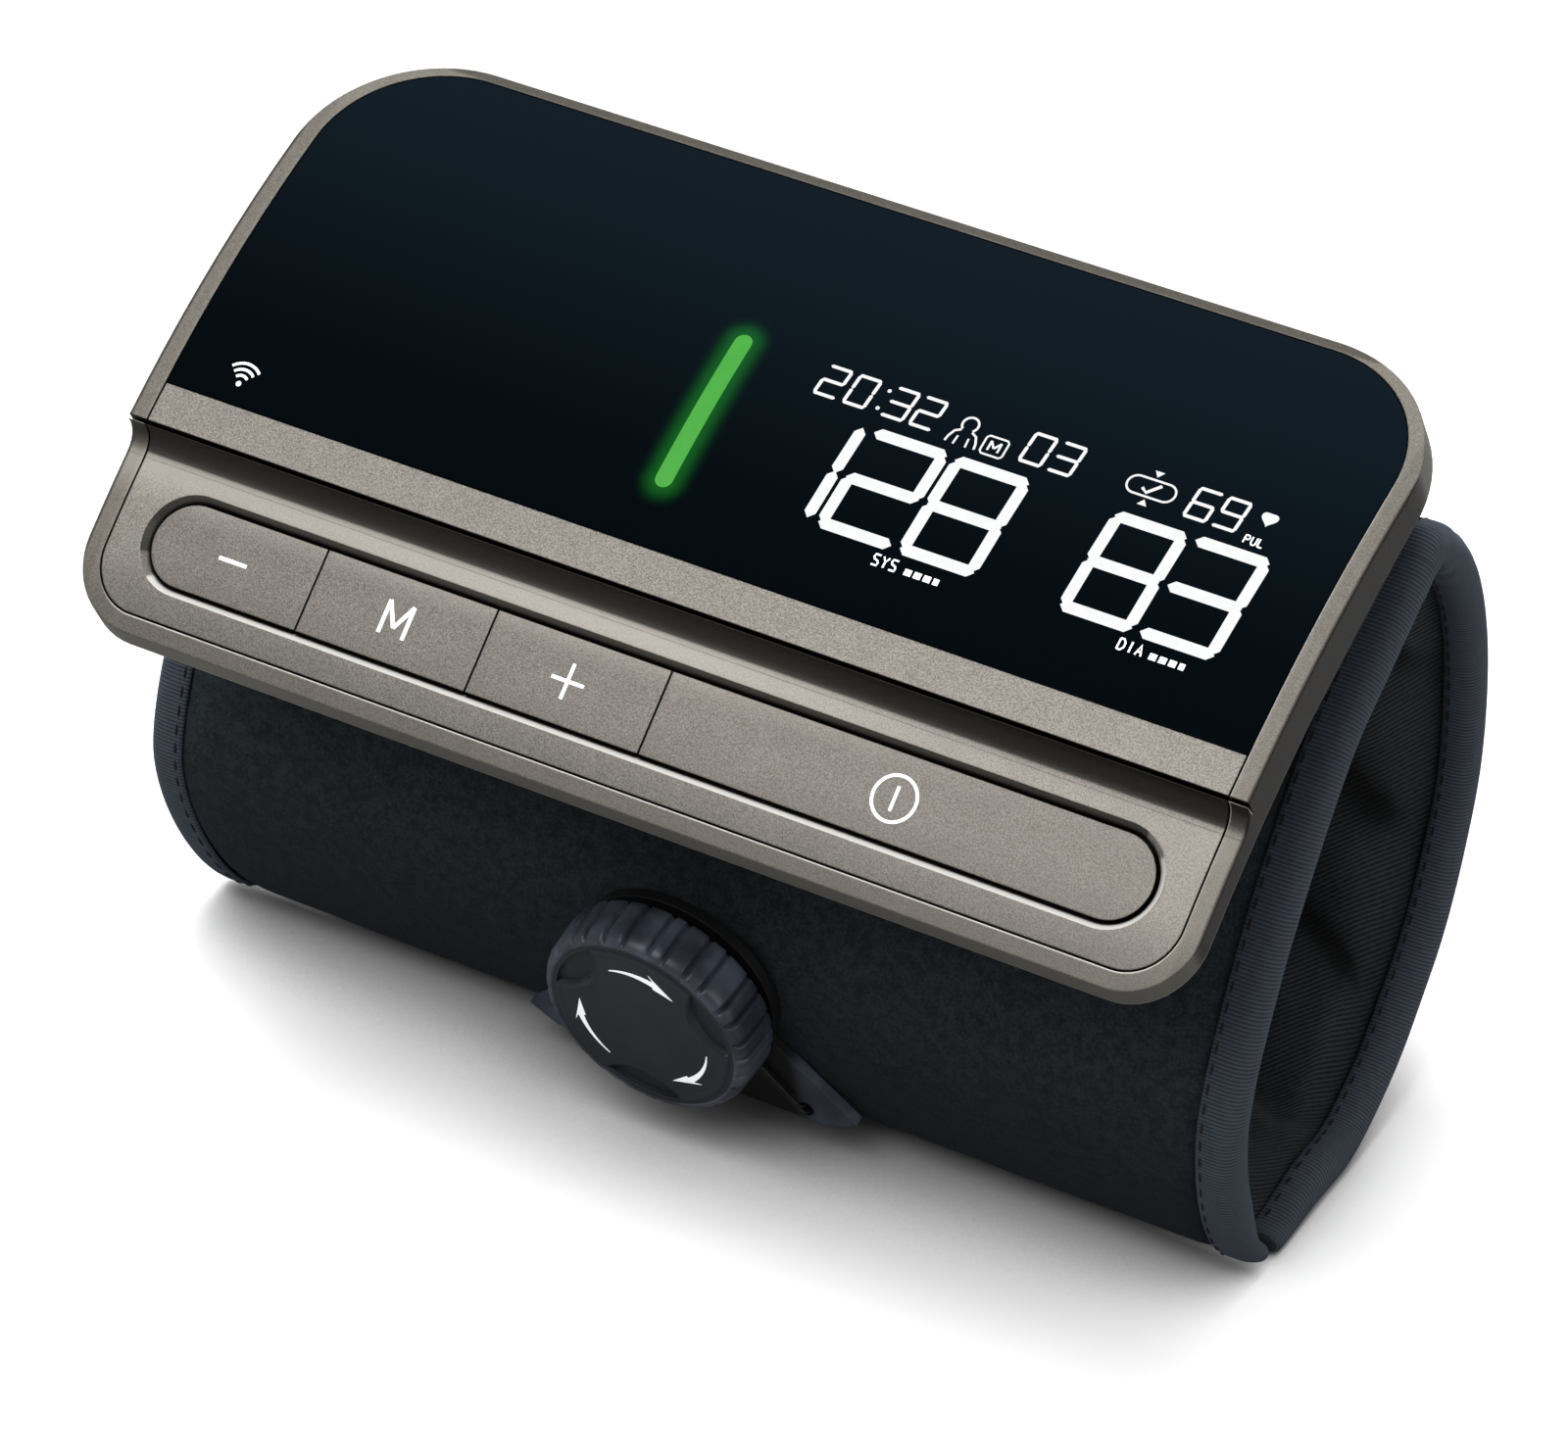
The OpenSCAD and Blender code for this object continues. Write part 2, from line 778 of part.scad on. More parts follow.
function dial_to_row(p) = dial_at + [
    p[0], p[1] * cos(90 + dial_tilt) - p[2] * sin(90 + dial_tilt),
    p[1] * sin(90 + dial_tilt) + p[2] * cos(90 + dial_tilt)
];
function in_layer(s, u) =
    [s * guide_x, section_point(u, mid_d)[0], section_point(u, mid_d)[1]];
function mix(a, b, t) = a + (b - a) * t;

// The lace's corners on one side, s = -1 or 1: off the spool, through the slot in the dial's
// base, through the front part's guide, over the slit and into the rear part's guide.
function lace_corners(s) = [
    dial_to_row([s * 4.2, -4.2, lace_z]),
    dial_to_row([s * slot_at[0], slot_at[1], lace_z]),
    dial_to_row([s * slot_at[0], slot_at[1], -0.6]),
    in_layer(s, 5.36),
    in_layer(s, 5.17),
    in_layer(s, 4.84)
];

// A rod from a to b, longer by over at each end.
module rod_between(a, b, r, over = 0) {
    v = b - a;
    translate(a) rotate([0, acos(v[2] / norm(v)), atan2(v[1], v[0])]) translate([0, 0, -over])
        cylinder(r = r, h = norm(v) + 2 * over, $fn = 20);
}

module lace_run(r) {
    for (s = [-1, 1]) {
        c = lace_corners(s);
        for (i = [0 : len(c) - 2]) rod_between(c[i], c[i + 1], r, r * 0.6);
    }
}

module lace() {
    color([0.08, 0.08, 0.09]) lace_run(lace_r);
}

// A guide is a short tube around one straight stretch of the lace.
module guide(first, t0, t1, r) {
    for (s = [-1, 1]) {
        c = lace_corners(s);
        rod_between(mix(c[first], c[first + 1], t0), mix(c[first], c[first + 1], t1), r);
    }
}

module guide_seats() {
    guide(3, 0.1, 1.3, guide_r + 0.1);
    guide(4, 0.2, 1, guide_r + 0.1);
}

module lace_guides_front() {
    color(steel) difference() {
        guide(3, 0.2, 0.85, guide_r);
        guide(3, 0, 1, lace_r + 0.1);
    }
}

module lace_guides_rear() {
    color(steel) difference() {
        guide(4, 0.52, 0.95, guide_r);
        guide(4, 0, 2, lace_r + 0.1);
    }
}

// ---------------------------------------------------------------- winding dial
base_t = 1.4;
boss_r = 2.8;
spindle_r = 1.55;
spool_r = 6;
skirt_z = 2.7;
face_z = 9.6;
ratchet_in = 8.6;
ratchet_out = 10.4;
teeth = 24;
run_gap = 0.05;

module base_outline() {
    circle(r = 13.2);
    intersection() {
        polygon([[-12, -5], [-23.4, -15.2], [-23.4, -17.2], [23.4, -17.2], [23.4, -15.2],
            [12, -5]]);
        translate([0, 19]) circle(r = 41, $fn = 120);
    }
}

module dial_base() {
    color(tape_fabric) dial() difference() {
        union() {
            linear_extrude(base_t) base_outline();
            cylinder(r = boss_r, h = 3.2);
        }
        translate([0, 0, -1]) cylinder(r = spindle_r + run_gap, h = 6);
        for (s = [-1, 1]) translate([s * slot_at[0], slot_at[1], -1]) cylinder(r = 1.1, h = 4);
    }
}

module ratchet_ring() {
    color(dark_plastic) dial() translate([0, 0, base_t + eps]) difference() {
        cylinder(r = ratchet_out, h = 4);
        linear_extrude(20, center = true) union() {
            circle(r = ratchet_in - 0.5);
            for (i = [0 : teeth - 1]) rotate(i * 360 / teeth)
                polygon([[7.9, -0.45], [ratchet_in, -0.35], [ratchet_in, 0.35], [7.9, 0.9]]);
        }
        for (s = [-1, 1]) rotate(s > 0 ? -45 : -135) translate([5, -0.9, -1]) cube([8, 1.8, 2.2]);
    }
}

module spool() {
    color([0.7, 0.7, 0.68]) dial() difference() {
        union() {
            translate([0, 0, base_t + 0.05]) cylinder(r = spool_r + 0.9, h = 0.25);
            translate([0, 0, base_t + 0.05]) cylinder(r = spool_r - 1, h = 1.8);
            translate([0, 0, base_t + 1.15]) cylinder(r = spool_r + 0.9, h = 0.7);
        }
        cylinder(r = boss_r + run_gap, h = 10);
        for (a = [0, 90]) rotate(a) translate([-5.2, -0.8, base_t + 1.2]) cube([10.4, 1.6, 3]);
    }
}

module dial_spindle() {
    color(steel) dial() difference() {
        translate([0, 0, 0.3]) cylinder(r = spindle_r, h = 7.4);
        translate([0, 0, 3]) cylinder(r = 0.85, h = 10);
    }
}

module dial_screw() {
    color(steel) dial() {
        translate([0, 0, 3.6]) cylinder(r = 0.8, h = 4.2);
        translate([0, 0, 7.72]) cylinder(r = 2.3, h = 0.9);
    }
}

module dial_knob() {
    color(dark_plastic) dial() difference() {
        translate([0, 0, skirt_z]) cylinder(r = dial_r - 1.1, h = face_z - skirt_z);
        difference() {
            translate([0, 0, skirt_z - 1]) cylinder(r = 11.2, h = 5.3);
            translate([0, 0, 3.35]) cylinder(r = 3.6, h = 6);
            for (a = [0, 90]) rotate(a) translate([-4.8, -0.65, 2.8]) cube([9.6, 1.3, 5]);
        }
        cylinder(r = boss_r + 0.1, h = 3.25);
        cylinder(r = spindle_r + run_gap, h = 20);
        translate([0, 0, 7.65]) cylinder(r = 2.4, h = 5);
        translate([0, 0, face_z - 0.6]) linear_extrude(2) badge_outline(0.1);
    }
}

// The three pawls meet the ratchet's teeth and rise clear of them when the dial is pulled.
module pawl_ring() {
    color([0.7, 0.7, 0.68]) dial() translate([0, 0, 4]) {
        difference() {
            cylinder(r = 7.2, h = 2.99);
            translate([0, 0, -1]) cylinder(r = 5.4, h = 5);
        }
        for (a = [0, 120, 240]) rotate(a) translate([6.6, -0.8, 0]) cube([1.4, 1.6, 1.1]);
    }
}

rib_count = 36;
module dial_grip() {
    color([0.19, 0.20, 0.23]) dial() difference() {
        union() {
            translate([0, 0, skirt_z + 0.1]) cylinder(r = dial_r, h = face_z - skirt_z - 1.3);
            translate([0, 0, face_z - 1.2]) cylinder(r1 = dial_r, r2 = dial_r - 0.95, h = 1.1);
        }
        translate([0, 0, skirt_z - 1]) cylinder(r = dial_r - 1.1, h = 10);
        for (i = [0 : rib_count - 1]) rotate(i * 360 / rib_count)
            translate([dial_r + 0.25, 0, 0]) cylinder(r = 0.6, h = 12, $fn = 24);
    }
}

// Three lobes with hollows between them.
module badge_outline(grow) {
    difference() {
        circle(r = dial_r - 2.2 + grow);
        for (a = [60, 180, 300]) rotate(a + 30)
            translate([dial_r + 2.2, 0]) circle(r = 6.6 - grow);
    }
}

module dial_badge() {
    color([0.13, 0.14, 0.16]) dial() translate([0, 0, face_z - 0.58]) linear_extrude(0.9)
        badge_outline(0);
}

frame();
fascia_plate();
display_glass();
glass_tape();
display_module();
status_light();
minus_button();
memory_button();
plus_button();
start_button();
button_board();
tact_switches();
main_board();
board_parts();
board_screws();
battery_pack();
battery_lead();
pump_motor();
pump_rotor();
pump_head();
pump_cushion();
release_valve();
valve_plunger();
pressure_sensor();
air_manifold();
air_hoses();
charging_socket();
buzzer();
wireless_module();
lower_shell();
housing_screws();
cuff_bracket();
bracket_screws();
air_port();
port_seal();
sleeve_rear();
sleeve_front();
lining_rear();
lining_front();
former_rear();
former_front();
bladder_rear();
bladder_front();
edge_tape_rear();
edge_tape_front();
closure_tongue();
lace();
lace_guides_front();
lace_guides_rear();
dial_base();
ratchet_ring();
spool();
dial_spindle();
dial_knob();
dial_grip();
pawl_ring();
dial_badge();
dial_screw();
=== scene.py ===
"""Looks for the tubeless upper-arm blood pressure cuff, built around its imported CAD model.

Shapes are written in millimetres in the row's frame (+X along the arm, -Y towards the user,
+Z up) and turned into metres when a mesh is made.
"""
import math

import bmesh
import bpy
import numpy as np
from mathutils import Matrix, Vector, noise


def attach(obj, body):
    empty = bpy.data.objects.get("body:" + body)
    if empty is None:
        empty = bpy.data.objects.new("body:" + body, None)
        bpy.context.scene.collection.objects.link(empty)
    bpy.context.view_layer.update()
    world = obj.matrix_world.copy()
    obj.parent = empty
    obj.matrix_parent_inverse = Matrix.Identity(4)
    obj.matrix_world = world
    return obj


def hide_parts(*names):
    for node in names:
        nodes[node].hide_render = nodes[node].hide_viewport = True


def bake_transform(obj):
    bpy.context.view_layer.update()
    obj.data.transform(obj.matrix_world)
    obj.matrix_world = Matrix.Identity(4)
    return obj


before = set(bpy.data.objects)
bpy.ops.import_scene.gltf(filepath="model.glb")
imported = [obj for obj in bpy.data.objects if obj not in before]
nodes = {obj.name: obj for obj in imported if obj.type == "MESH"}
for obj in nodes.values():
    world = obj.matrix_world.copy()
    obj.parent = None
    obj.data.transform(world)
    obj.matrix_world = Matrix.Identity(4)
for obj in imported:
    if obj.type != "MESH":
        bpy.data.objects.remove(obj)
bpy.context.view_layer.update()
UNIT, FRONT = "unit_and_rear_cuff", "front_cuff"
MM = 0.001


# ---------------------------------------------------------------- materials
# The control unit: the tilt and centre of its glass, and the step's distance below the centre.
TILT = math.radians(27.3)
UNIT_Y, UNIT_Z = -9.0, 86.6
STEP_Y = -18.0


def linear(code):
    """Linear colour from a hex code."""
    parts = [int(code[i:i + 2], 16) / 255 for i in (0, 2, 4)]
    return [c / 12.92 if c <= 0.04045 else ((c + 0.055) / 1.055) ** 2.4 for c in parts] + [1.0]


class Look:
    """A node material that is put together step by step."""

    def __init__(self, name, roughness=0.5, metallic=0.0, specular=0.5):
        self.material = bpy.data.materials.new(name)
        self.material.use_nodes = True
        self.tree = self.material.node_tree
        self.shader = self.tree.nodes["Principled BSDF"]
        self.feed(self.shader.inputs["Roughness"], roughness)
        self.feed(self.shader.inputs["Metallic"], metallic)
        self.feed(self.shader.inputs["Specular IOR Level"], specular)
        self.places = self.tree.nodes.new("ShaderNodeTexCoord").outputs

    def feed(self, socket, value):
        if isinstance(value, bpy.types.NodeSocket):
            self.tree.links.new(value, socket)
        else:
            socket.default_value = value

    def node(self, kind, output, inputs, **settings):
        made = self.tree.nodes.new(kind)
        for key, value in settings.items():
            setattr(made, key, value)
        for key, value in inputs.items():
            self.feed(made.inputs[key], value)
        return made.outputs[output]

    def noise(self, per_m, detail=2.0, stretch=None):
        vector = self.places["Object"]
        if stretch:
            vector = self.node("ShaderNodeMapping", 0, {"Vector": vector, "Scale": stretch})
        return self.node("ShaderNodeTexNoise", "Fac",
                         {"Vector": vector, "Scale": per_m, "Detail": detail})

    def math(self, operation, a, b=0.0):
        return self.node("ShaderNodeMath", 0, {0: a, 1: b}, operation=operation)

    def spread(self, value, low, high, to_low=0.0, to_high=1.0):
        return self.node("ShaderNodeMapRange", 0, {
            "Value": value, "From Min": low, "From Max": high, "To Min": to_low,
            "To Max": to_high}, interpolation_type="SMOOTHSTEP")

    def mix(self, amount, first, second):
        return self.node("ShaderNodeMix", 2, {0: amount, 6: first, 7: second}, data_type="RGBA")

    def axis(self, name, place="Object"):
        return self.node("ShaderNodeSeparateXYZ", name, {0: self.places[place]})

    def up_unit(self):
        """Distance up the control unit's tilted face, in metres."""
        along_y, along_z = (
            self.math("MULTIPLY", self.math("SUBTRACT", self.axis(name), at * MM), factor)
            for name, at, factor in (("Y", UNIT_Y, math.cos(TILT)), ("Z", UNIT_Z, math.sin(TILT))))
        return self.math("ADD", along_y, along_z)

    def colour(self, value):
        self.feed(self.shader.inputs["Base Color"], value)
        return self

    def relief(self, height, depth_mm, strength=1.0, edge_mm=0.0):
        inputs = {"Height": height, "Distance": depth_mm * MM, "Strength": strength}
        if edge_mm:
            inputs["Normal"] = self.node("ShaderNodeBevel", 0, {"Radius": edge_mm * MM}, samples=6)
        self.feed(self.shader.inputs["Normal"], self.node("ShaderNodeBump", 0, inputs))
        return self


def metallic_paint(name, dark, light, edge_mm, rim=None):
    """Flecked metallic paint with painted light and shade on the panel and a painted shadow at the
    foot of the step; a rim colour paints shade on its outside.
    """
    look = Look(name, metallic=0.5)
    flakes = look.spread(look.noise(5200, 1), 0.3, 0.7)
    cloud = look.spread(look.noise(260, 3), 0.3, 0.7)
    base = look.mix(flakes, linear(dark), linear(light))
    base = look.mix(look.math("MULTIPLY", cloud, 0.10), base, linear("5f5b55"))
    up = look.up_unit()
    below = look.spread(up, (STEP_Y + 0.12) * MM, (STEP_Y + 0.06) * MM)
    # Painted highlight on the panel between the step and the buttons, stronger towards the left.
    across = look.spread(look.axis("X"), 58 * MM, -8 * MM, 0.12, 0.62)
    bright = look.math("MULTIPLY", look.spread(up, -27 * MM, -20 * MM), below)
    bright = look.math("MULTIPLY", bright, across)
    base = look.mix(bright, base, linear("d2cdc3"))
    # Painted shade towards the panel's front edge.
    base = look.mix(look.spread(up, -29 * MM, -40 * MM, 0, 0.5), base, linear("3f3b36"))
    # Painted shadow at the foot of the step.
    foot = look.math("MULTIPLY", look.spread(up, (STEP_Y - 3.2) * MM, (STEP_Y - 0.4) * MM), below)
    base = look.mix(look.math("MULTIPLY", foot, 0.95), base, linear("0c0a09"))
    if rim:
        # Painted shade on the rim's outer band and side walls, in the rim colour.
        aside = look.math("ABSOLUTE", look.axis("X"))
        band_shade = look.math("MAXIMUM", look.spread(aside, 72.4 * MM, 73.4 * MM, 0, 0.2),
                               look.spread(up, 39.2 * MM, 39.8 * MM, 0, 0.6))
        wall_shade = look.math("MAXIMUM", look.spread(aside, 74.3 * MM, 74.95 * MM),
                               look.spread(up, 40.3 * MM, 40.7 * MM))
        base = look.mix(look.math("MAXIMUM", band_shade, wall_shade), base, linear(rim))
    facing = look.node("ShaderNodeNewGeometry", "Normal", {})
    if rim:
        # A painted highlight: a bright line where the rim's edge is rounded towards the light.
        rounded = look.node("ShaderNodeBevel", 0, {"Radius": 0.35 * MM}, samples=8)
        turned = look.node("ShaderNodeVectorMath", 0, {0: rounded, 1: facing}, operation="SUBTRACT")
        lit = look.node("ShaderNodeVectorMath", "Value", {0: turned, 1: (-0.5, 0.8, 0.35)},
                        operation="DOT_PRODUCT")
        base = look.mix(look.spread(lit, 0.10, 0.40, 0, 0.8), base, linear("f4f1ea"))
    else:
        # Painted highlight on walls of the recess that face back or left, painted shade on those
        # that face forward.
        toward = look.node("ShaderNodeVectorMath", "Value", {0: facing, 1: (-0.6, 0.8, 0)},
                           operation="DOT_PRODUCT")
        lit = look.math("MULTIPLY", look.spread(toward, -0.33, -0.27, 0, 0.85), below)
        shut = look.math("MULTIPLY", look.spread(toward, -0.58, -0.64, 0, 0.8), below)
        base = look.mix(lit, look.mix(shut, base, linear("1f1c18")), linear("fdfbf6"))
    # Painted shade, near black, in the narrow gaps between parts.
    gap = look.node("ShaderNodeAmbientOcclusion", "AO", {"Distance": 1.3 * MM}, samples=8)
    look.colour(look.mix(look.spread(gap, 0.5, 0.86), linear("080706"), base))
    look.feed(look.shader.inputs["Roughness"], look.spread(flakes, 0, 1, 0.36, 0.5))
    return look.relief(flakes, 0.02, 0.5, edge_mm).material


def moulded(name, dark, light, roughness=0.5, edge_mm=0.25, grain=1500, depth=0.02):
    look = Look(name, roughness, specular=0.4)
    pits = look.noise(grain, 3)
    look.colour(look.mix(look.spread(look.noise(180, 3), 0.3, 0.7), linear(dark), linear(light)))
    return look.relief(pits, depth, 0.6, edge_mm).material


def dial_tab(name, dark, light):
    """The tab under the dial: painted black shade behind the dial, dark blue on its two wings."""
    look = Look(name, 0.6, specular=0.4)
    wings = look.spread(look.math("ABSOLUTE", look.axis("X")), 14 * MM, 16.5 * MM)
    grain = look.mix(look.spread(look.noise(180, 3), 0.3, 0.7), linear(dark), linear(light))
    look.colour(look.mix(wings, linear("060708"), grain))
    return look.relief(look.noise(700, 3), 0.05, 0.6, 0.3).material


def metal(name, code, roughness=0.3):
    look = Look(name, roughness, metallic=1.0)
    lines = look.noise(500, 2, stretch=(1, 12, 12))
    look.colour(look.mix(lines, linear(code), linear("8f8f8c")))
    return look.relief(lines, 0.01, 0.5, 0.15).material


def fabric(name, dark, light):
    """A matte brushed knit: fine pile, soft mottling and a faint sheen."""
    look = Look(name, 0.92, specular=0.15)
    pile = look.noise(2600, 3)
    tufts = look.noise(700, 2)
    shade = look.math("ADD", look.math("MULTIPLY", pile, 0.55), look.math("MULTIPLY", tufts, 0.45))
    base = look.mix(look.spread(shade, 0.34, 0.66), linear(dark), linear(light))
    # Painted shade: the fabric grows darker towards the floor.
    low = look.spread(look.axis("Z"), 42 * MM, 6 * MM, 0, 0.68)
    look.colour(look.mix(low, base, linear("0a0c0f")))
    look.feed(look.shader.inputs["Sheen Weight"], 0.12)
    look.feed(look.shader.inputs["Sheen Roughness"], 0.6)
    look.feed(look.shader.inputs["Sheen Tint"], linear("7f8fa3"))
    return look.relief(shade, 0.22, 0.8).material


def ribbed_tape(name, dark, light):
    """Binding tape: fine ribs across the band, which the mesh's UV runs along in metres."""
    look = Look(name, 0.85, specular=0.2)
    ribs = look.math("SINE", look.math("MULTIPLY", look.axis("X", "UV"), 2 * math.pi / (0.5 * MM)))
    ribs = look.spread(ribs, -1, 1)
    worn = look.noise(900, 3)
    height = look.math("ADD", ribs, look.math("MULTIPLY", worn, 0.8))
    look.colour(look.mix(look.spread(height, 0.2, 1.5), linear(dark), linear(light)))
    look.feed(look.shader.inputs["Sheen Weight"], 0.3)
    look.feed(look.shader.inputs["Sheen Tint"], linear("8794a8"))
    return look.relief(height, 0.06, 0.7).material


def twill(name, dark, light):
    """The lining: a dark twill whose fine diagonals follow the mesh's UV, with painted shade in its
    creases.
    """
    look = Look(name, 0.8, specular=0.25)
    diagonal = look.math("ADD", look.axis("X", "UV"), look.axis("Y", "UV"))
    lines = look.math("SINE", look.math("MULTIPLY", diagonal, 2 * math.pi / (0.8 * MM)))
    height = look.math("ADD", look.spread(lines, -1, 1), look.noise(1500, 2))
    weave = look.mix(look.spread(height, 0.3, 1.6), linear(dark), linear(light))
    # Painted shade, near black, along the valleys of the creases.
    crease_shade = look.node("ShaderNodeAttribute", "Fac", {}, attribute_name="fold")
    weave = look.mix(look.spread(crease_shade, 0.2, 0.7, 0, 0.85), weave, linear("010202"))
    # Painted shade where the folds close in.
    fold = look.node("ShaderNodeAmbientOcclusion", "AO", {"Distance": 4 * MM}, samples=8)
    look.colour(look.mix(look.spread(fold, 0.72, 0.97), linear("020303"), weave))
    look.feed(look.shader.inputs["Sheen Weight"], 0.2)
    return look.relief(height, 0.1, 0.6).material


def glowing(name, code, strength, body=None):
    look = Look(name, 0.4)
    look.colour(linear(body or code))
    grain = look.spread(look.noise(900, 2), 0.2, 0.8, 0.92, 1.0)
    look.feed(look.shader.inputs["Emission Color"], linear(code))
    look.feed(look.shader.inputs["Emission Strength"], look.math("MULTIPLY", grain, strength))
    return look.material


BAR_X, BAR_Y0, BAR_Y1, BAR_R = -7.6, -4.3, 15.3, 1.12


def cover_glass(name):
    """Blue-black glass with a painted reflection, darker towards the step, and a painted glow of
    the green bar's halo.
    """
    look = Look(name, 0.05, specular=0.05)
    along = look.up_unit()
    # Painted reflection: lighter further up the glass.
    rise = look.spread(along, -13 * MM, 40 * MM)
    look.colour(look.mix(rise, linear("010508"), linear("09131a")))
    middle, half = (BAR_Y0 + BAR_Y1) / 2 * MM, (BAR_Y1 - BAR_Y0) / 2 * MM
    beyond = look.math("MAXIMUM", look.math("SUBTRACT", look.math(
        "ABSOLUTE", look.math("SUBTRACT", along, middle)), half), 0.0)
    aside = look.math("SUBTRACT", look.axis("X"), BAR_X * MM)
    away = look.math("SQRT", look.math("ADD", look.math("MULTIPLY", beyond, beyond),
                                       look.math("MULTIPLY", aside, aside)))
    halo = look.math("POWER", look.spread(away, 4.4 * MM, BAR_R * MM), 2.2)
    # Painted glow of the green bar's halo in the glass.
    look.feed(look.shader.inputs["Emission Color"], linear("1d8a2a"))
    look.feed(look.shader.inputs["Emission Strength"], look.math("MULTIPLY", halo, 0.4))
    return look.relief(look.noise(40, 1), 0.01, 0.15, 0.15).material


paint = metallic_paint("metallic_paint", "7a766f", "a8a39b", 0.3)
key_paint = metallic_paint("key_paint", "6b6760", "96918a", 0.3)
# The last colour is painted shade for the rim's outer band and walls.
rim_paint = metallic_paint("rim_paint", "78746c", "989389", 0.35, "26221f")
glass = cover_glass("cover_glass")
dark_shell = moulded("dark_shell", "17191c", "1e2125", 0.62)
dial_plastic = moulded("dial_plastic", "24262d", "2b2e36", 0.42, 0.2, 2200, 0.012)
dial_rubber = moulded("dial_rubber", "2f333c", "525865", 0.33, 0.3, 900, 0.05)
badge_plastic = moulded("badge_plastic", "262930", "2c2f37", 0.36, 0.15, 2600, 0.008)
tab_plastic = dial_tab("tab_plastic", "30353f", "4b525f")
outer_fabric = fabric("outer_fabric", "1f2427", "333a3e")
tape_fabric = ribbed_tape("tape_fabric", "31363d", "4b525c")
lining_fabric = twill("lining_fabric", "171a1e", "3a4047")
thread = moulded("thread", "0e1013", "181a1f", 0.8, 0.0, 3000, 0.03)
lace_cord = moulded("lace_cord", "08090a", "14161a", 0.5, 0.0, 3000, 0.03)
# White print given a painted glow, though it is no lamp.
white_print_painted_glow = glowing("white_print_painted_glow", "f4f6f7", 0.55)
white_light = glowing("white_light", "fdfefe", 0.95, "303030")
green_light = glowing("green_light", "4ab43f", 0.95, "0c1c0c")
steel = metal("steel", "b9b9b6")
board = moulded("board", "0f3a20", "185230", 0.4, 0.1, 900, 0.01)
pale_plastic = moulded("pale_plastic", "b9b8b0", "c9c8c1", 0.45)
clear_rubber = moulded("clear_rubber", "a9a99f", "c2c2b8", 0.35)
black_rubber = moulded("black_rubber", "101012", "1a1a1d", 0.75)
battery_wrap = moulded("battery_wrap", "3c434f", "4d5562", 0.35)
copper = metal("copper", "a8672f", 0.35)
red_wire = moulded("red_wire", "8e1d18", "a5281f", 0.4)
band_plastic = moulded("band_plastic", "2e2f33", "3c3e42", 0.55)
bladder_film = moulded("bladder_film", "4a4a46", "5c5c57", 0.4)

looks = {
    rim_paint: "frame",
    paint: "fascia_plate",
    key_paint: "minus_button memory_button plus_button start_button",
    glass: "display_glass",
    dark_shell: "lower_shell cuff_bracket pump_head air_manifold buzzer release_valve",
    black_rubber: "glass_tape board_parts pump_cushion port_seal display_module",
    green_light: "status_light",
    board: "button_board main_board",
    steel: "tact_switches board_screws pump_motor valve_plunger wireless_module"
           " charging_socket housing_screws bracket_screws lace_guides_front"
           " lace_guides_rear dial_spindle dial_screw",
    copper: "pump_rotor",
    battery_wrap: "battery_pack",
    red_wire: "battery_lead",
    pale_plastic: "pressure_sensor air_port spool pawl_ring",
    clear_rubber: "air_hoses",
    band_plastic: "former_rear former_front",
    bladder_film: "bladder_rear bladder_front",
    tab_plastic: "dial_base",
    dial_plastic: "dial_knob ratchet_ring",
}
for look, names in looks.items():
    for name in names.split():
        mesh = nodes[name].data
        mesh.materials.clear()
        mesh.materials.append(look)


# ---------------------------------------------------------------- mesh helpers
def piece(name, points, faces, look, uv=None, smooth=True):
    """A mesh object from points in millimetres."""
    mesh = bpy.data.meshes.new(name)
    mesh.from_pydata([tuple(float(c) * MM for c in p) for p in points], [], faces)
    mesh.materials.append(look)
    if uv is not None:
        layer = mesh.uv_layers.new(name="UVMap")
        for loop in mesh.loops:
            layer.data[loop.index].uv = [c * MM for c in uv[loop.vertex_index]]
    mesh.polygons.foreach_set("use_smooth", [smooth] * len(mesh.polygons))
    mesh.update()
    made = bpy.data.objects.new(name, mesh)
    bpy.context.scene.collection.objects.link(made)
    return made


def grid_faces(rows, columns, wrap):
    """Quads over a grid of points; wrap joins the last column to the first."""
    last = columns if wrap else columns - 1
    return [(i * columns + j, i * columns + (j + 1) % columns,
             (i + 1) * columns + (j + 1) % columns, (i + 1) * columns + j)
            for i in range(rows - 1) for j in range(last)]


def tube(name, rings, look, uv=None):
    """A closed solid through rings of points, capped at both ends."""
    rows, columns = len(rings), len(rings[0])
    faces = grid_faces(rows, columns, True)
    faces.append(tuple(reversed(range(columns))))
    faces.append(tuple(range((rows - 1) * columns, rows * columns)))
    return outward(piece(name, [p for ring in rings for p in ring], faces, look, uv))


def outward(made):
    """Turns every face outward."""
    work = bmesh.new()
    work.from_mesh(made.data)
    bmesh.ops.recalc_face_normals(work, faces=work.faces)
    work.to_mesh(made.data)
    work.free()
    return made


def applied(made, *modifiers):
    """Adds modifiers given as (kind, settings) and applies them to the mesh."""
    for kind, settings in modifiers:
        modifier = made.modifiers.new(kind.lower(), kind)
        for key, value in settings.items():
            setattr(modifier, key, value)
    view = bpy.context.evaluated_depsgraph_get()
    mesh = bpy.data.meshes.new_from_object(made.evaluated_get(view))
    made.modifiers.clear()
    made.data = mesh
    return made


def joined(name, parts):
    """One object out of several."""
    with bpy.context.temp_override(active_object=parts[0], selected_editable_objects=parts):
        bpy.ops.object.join()
    parts[0].name = name
    return parts[0]


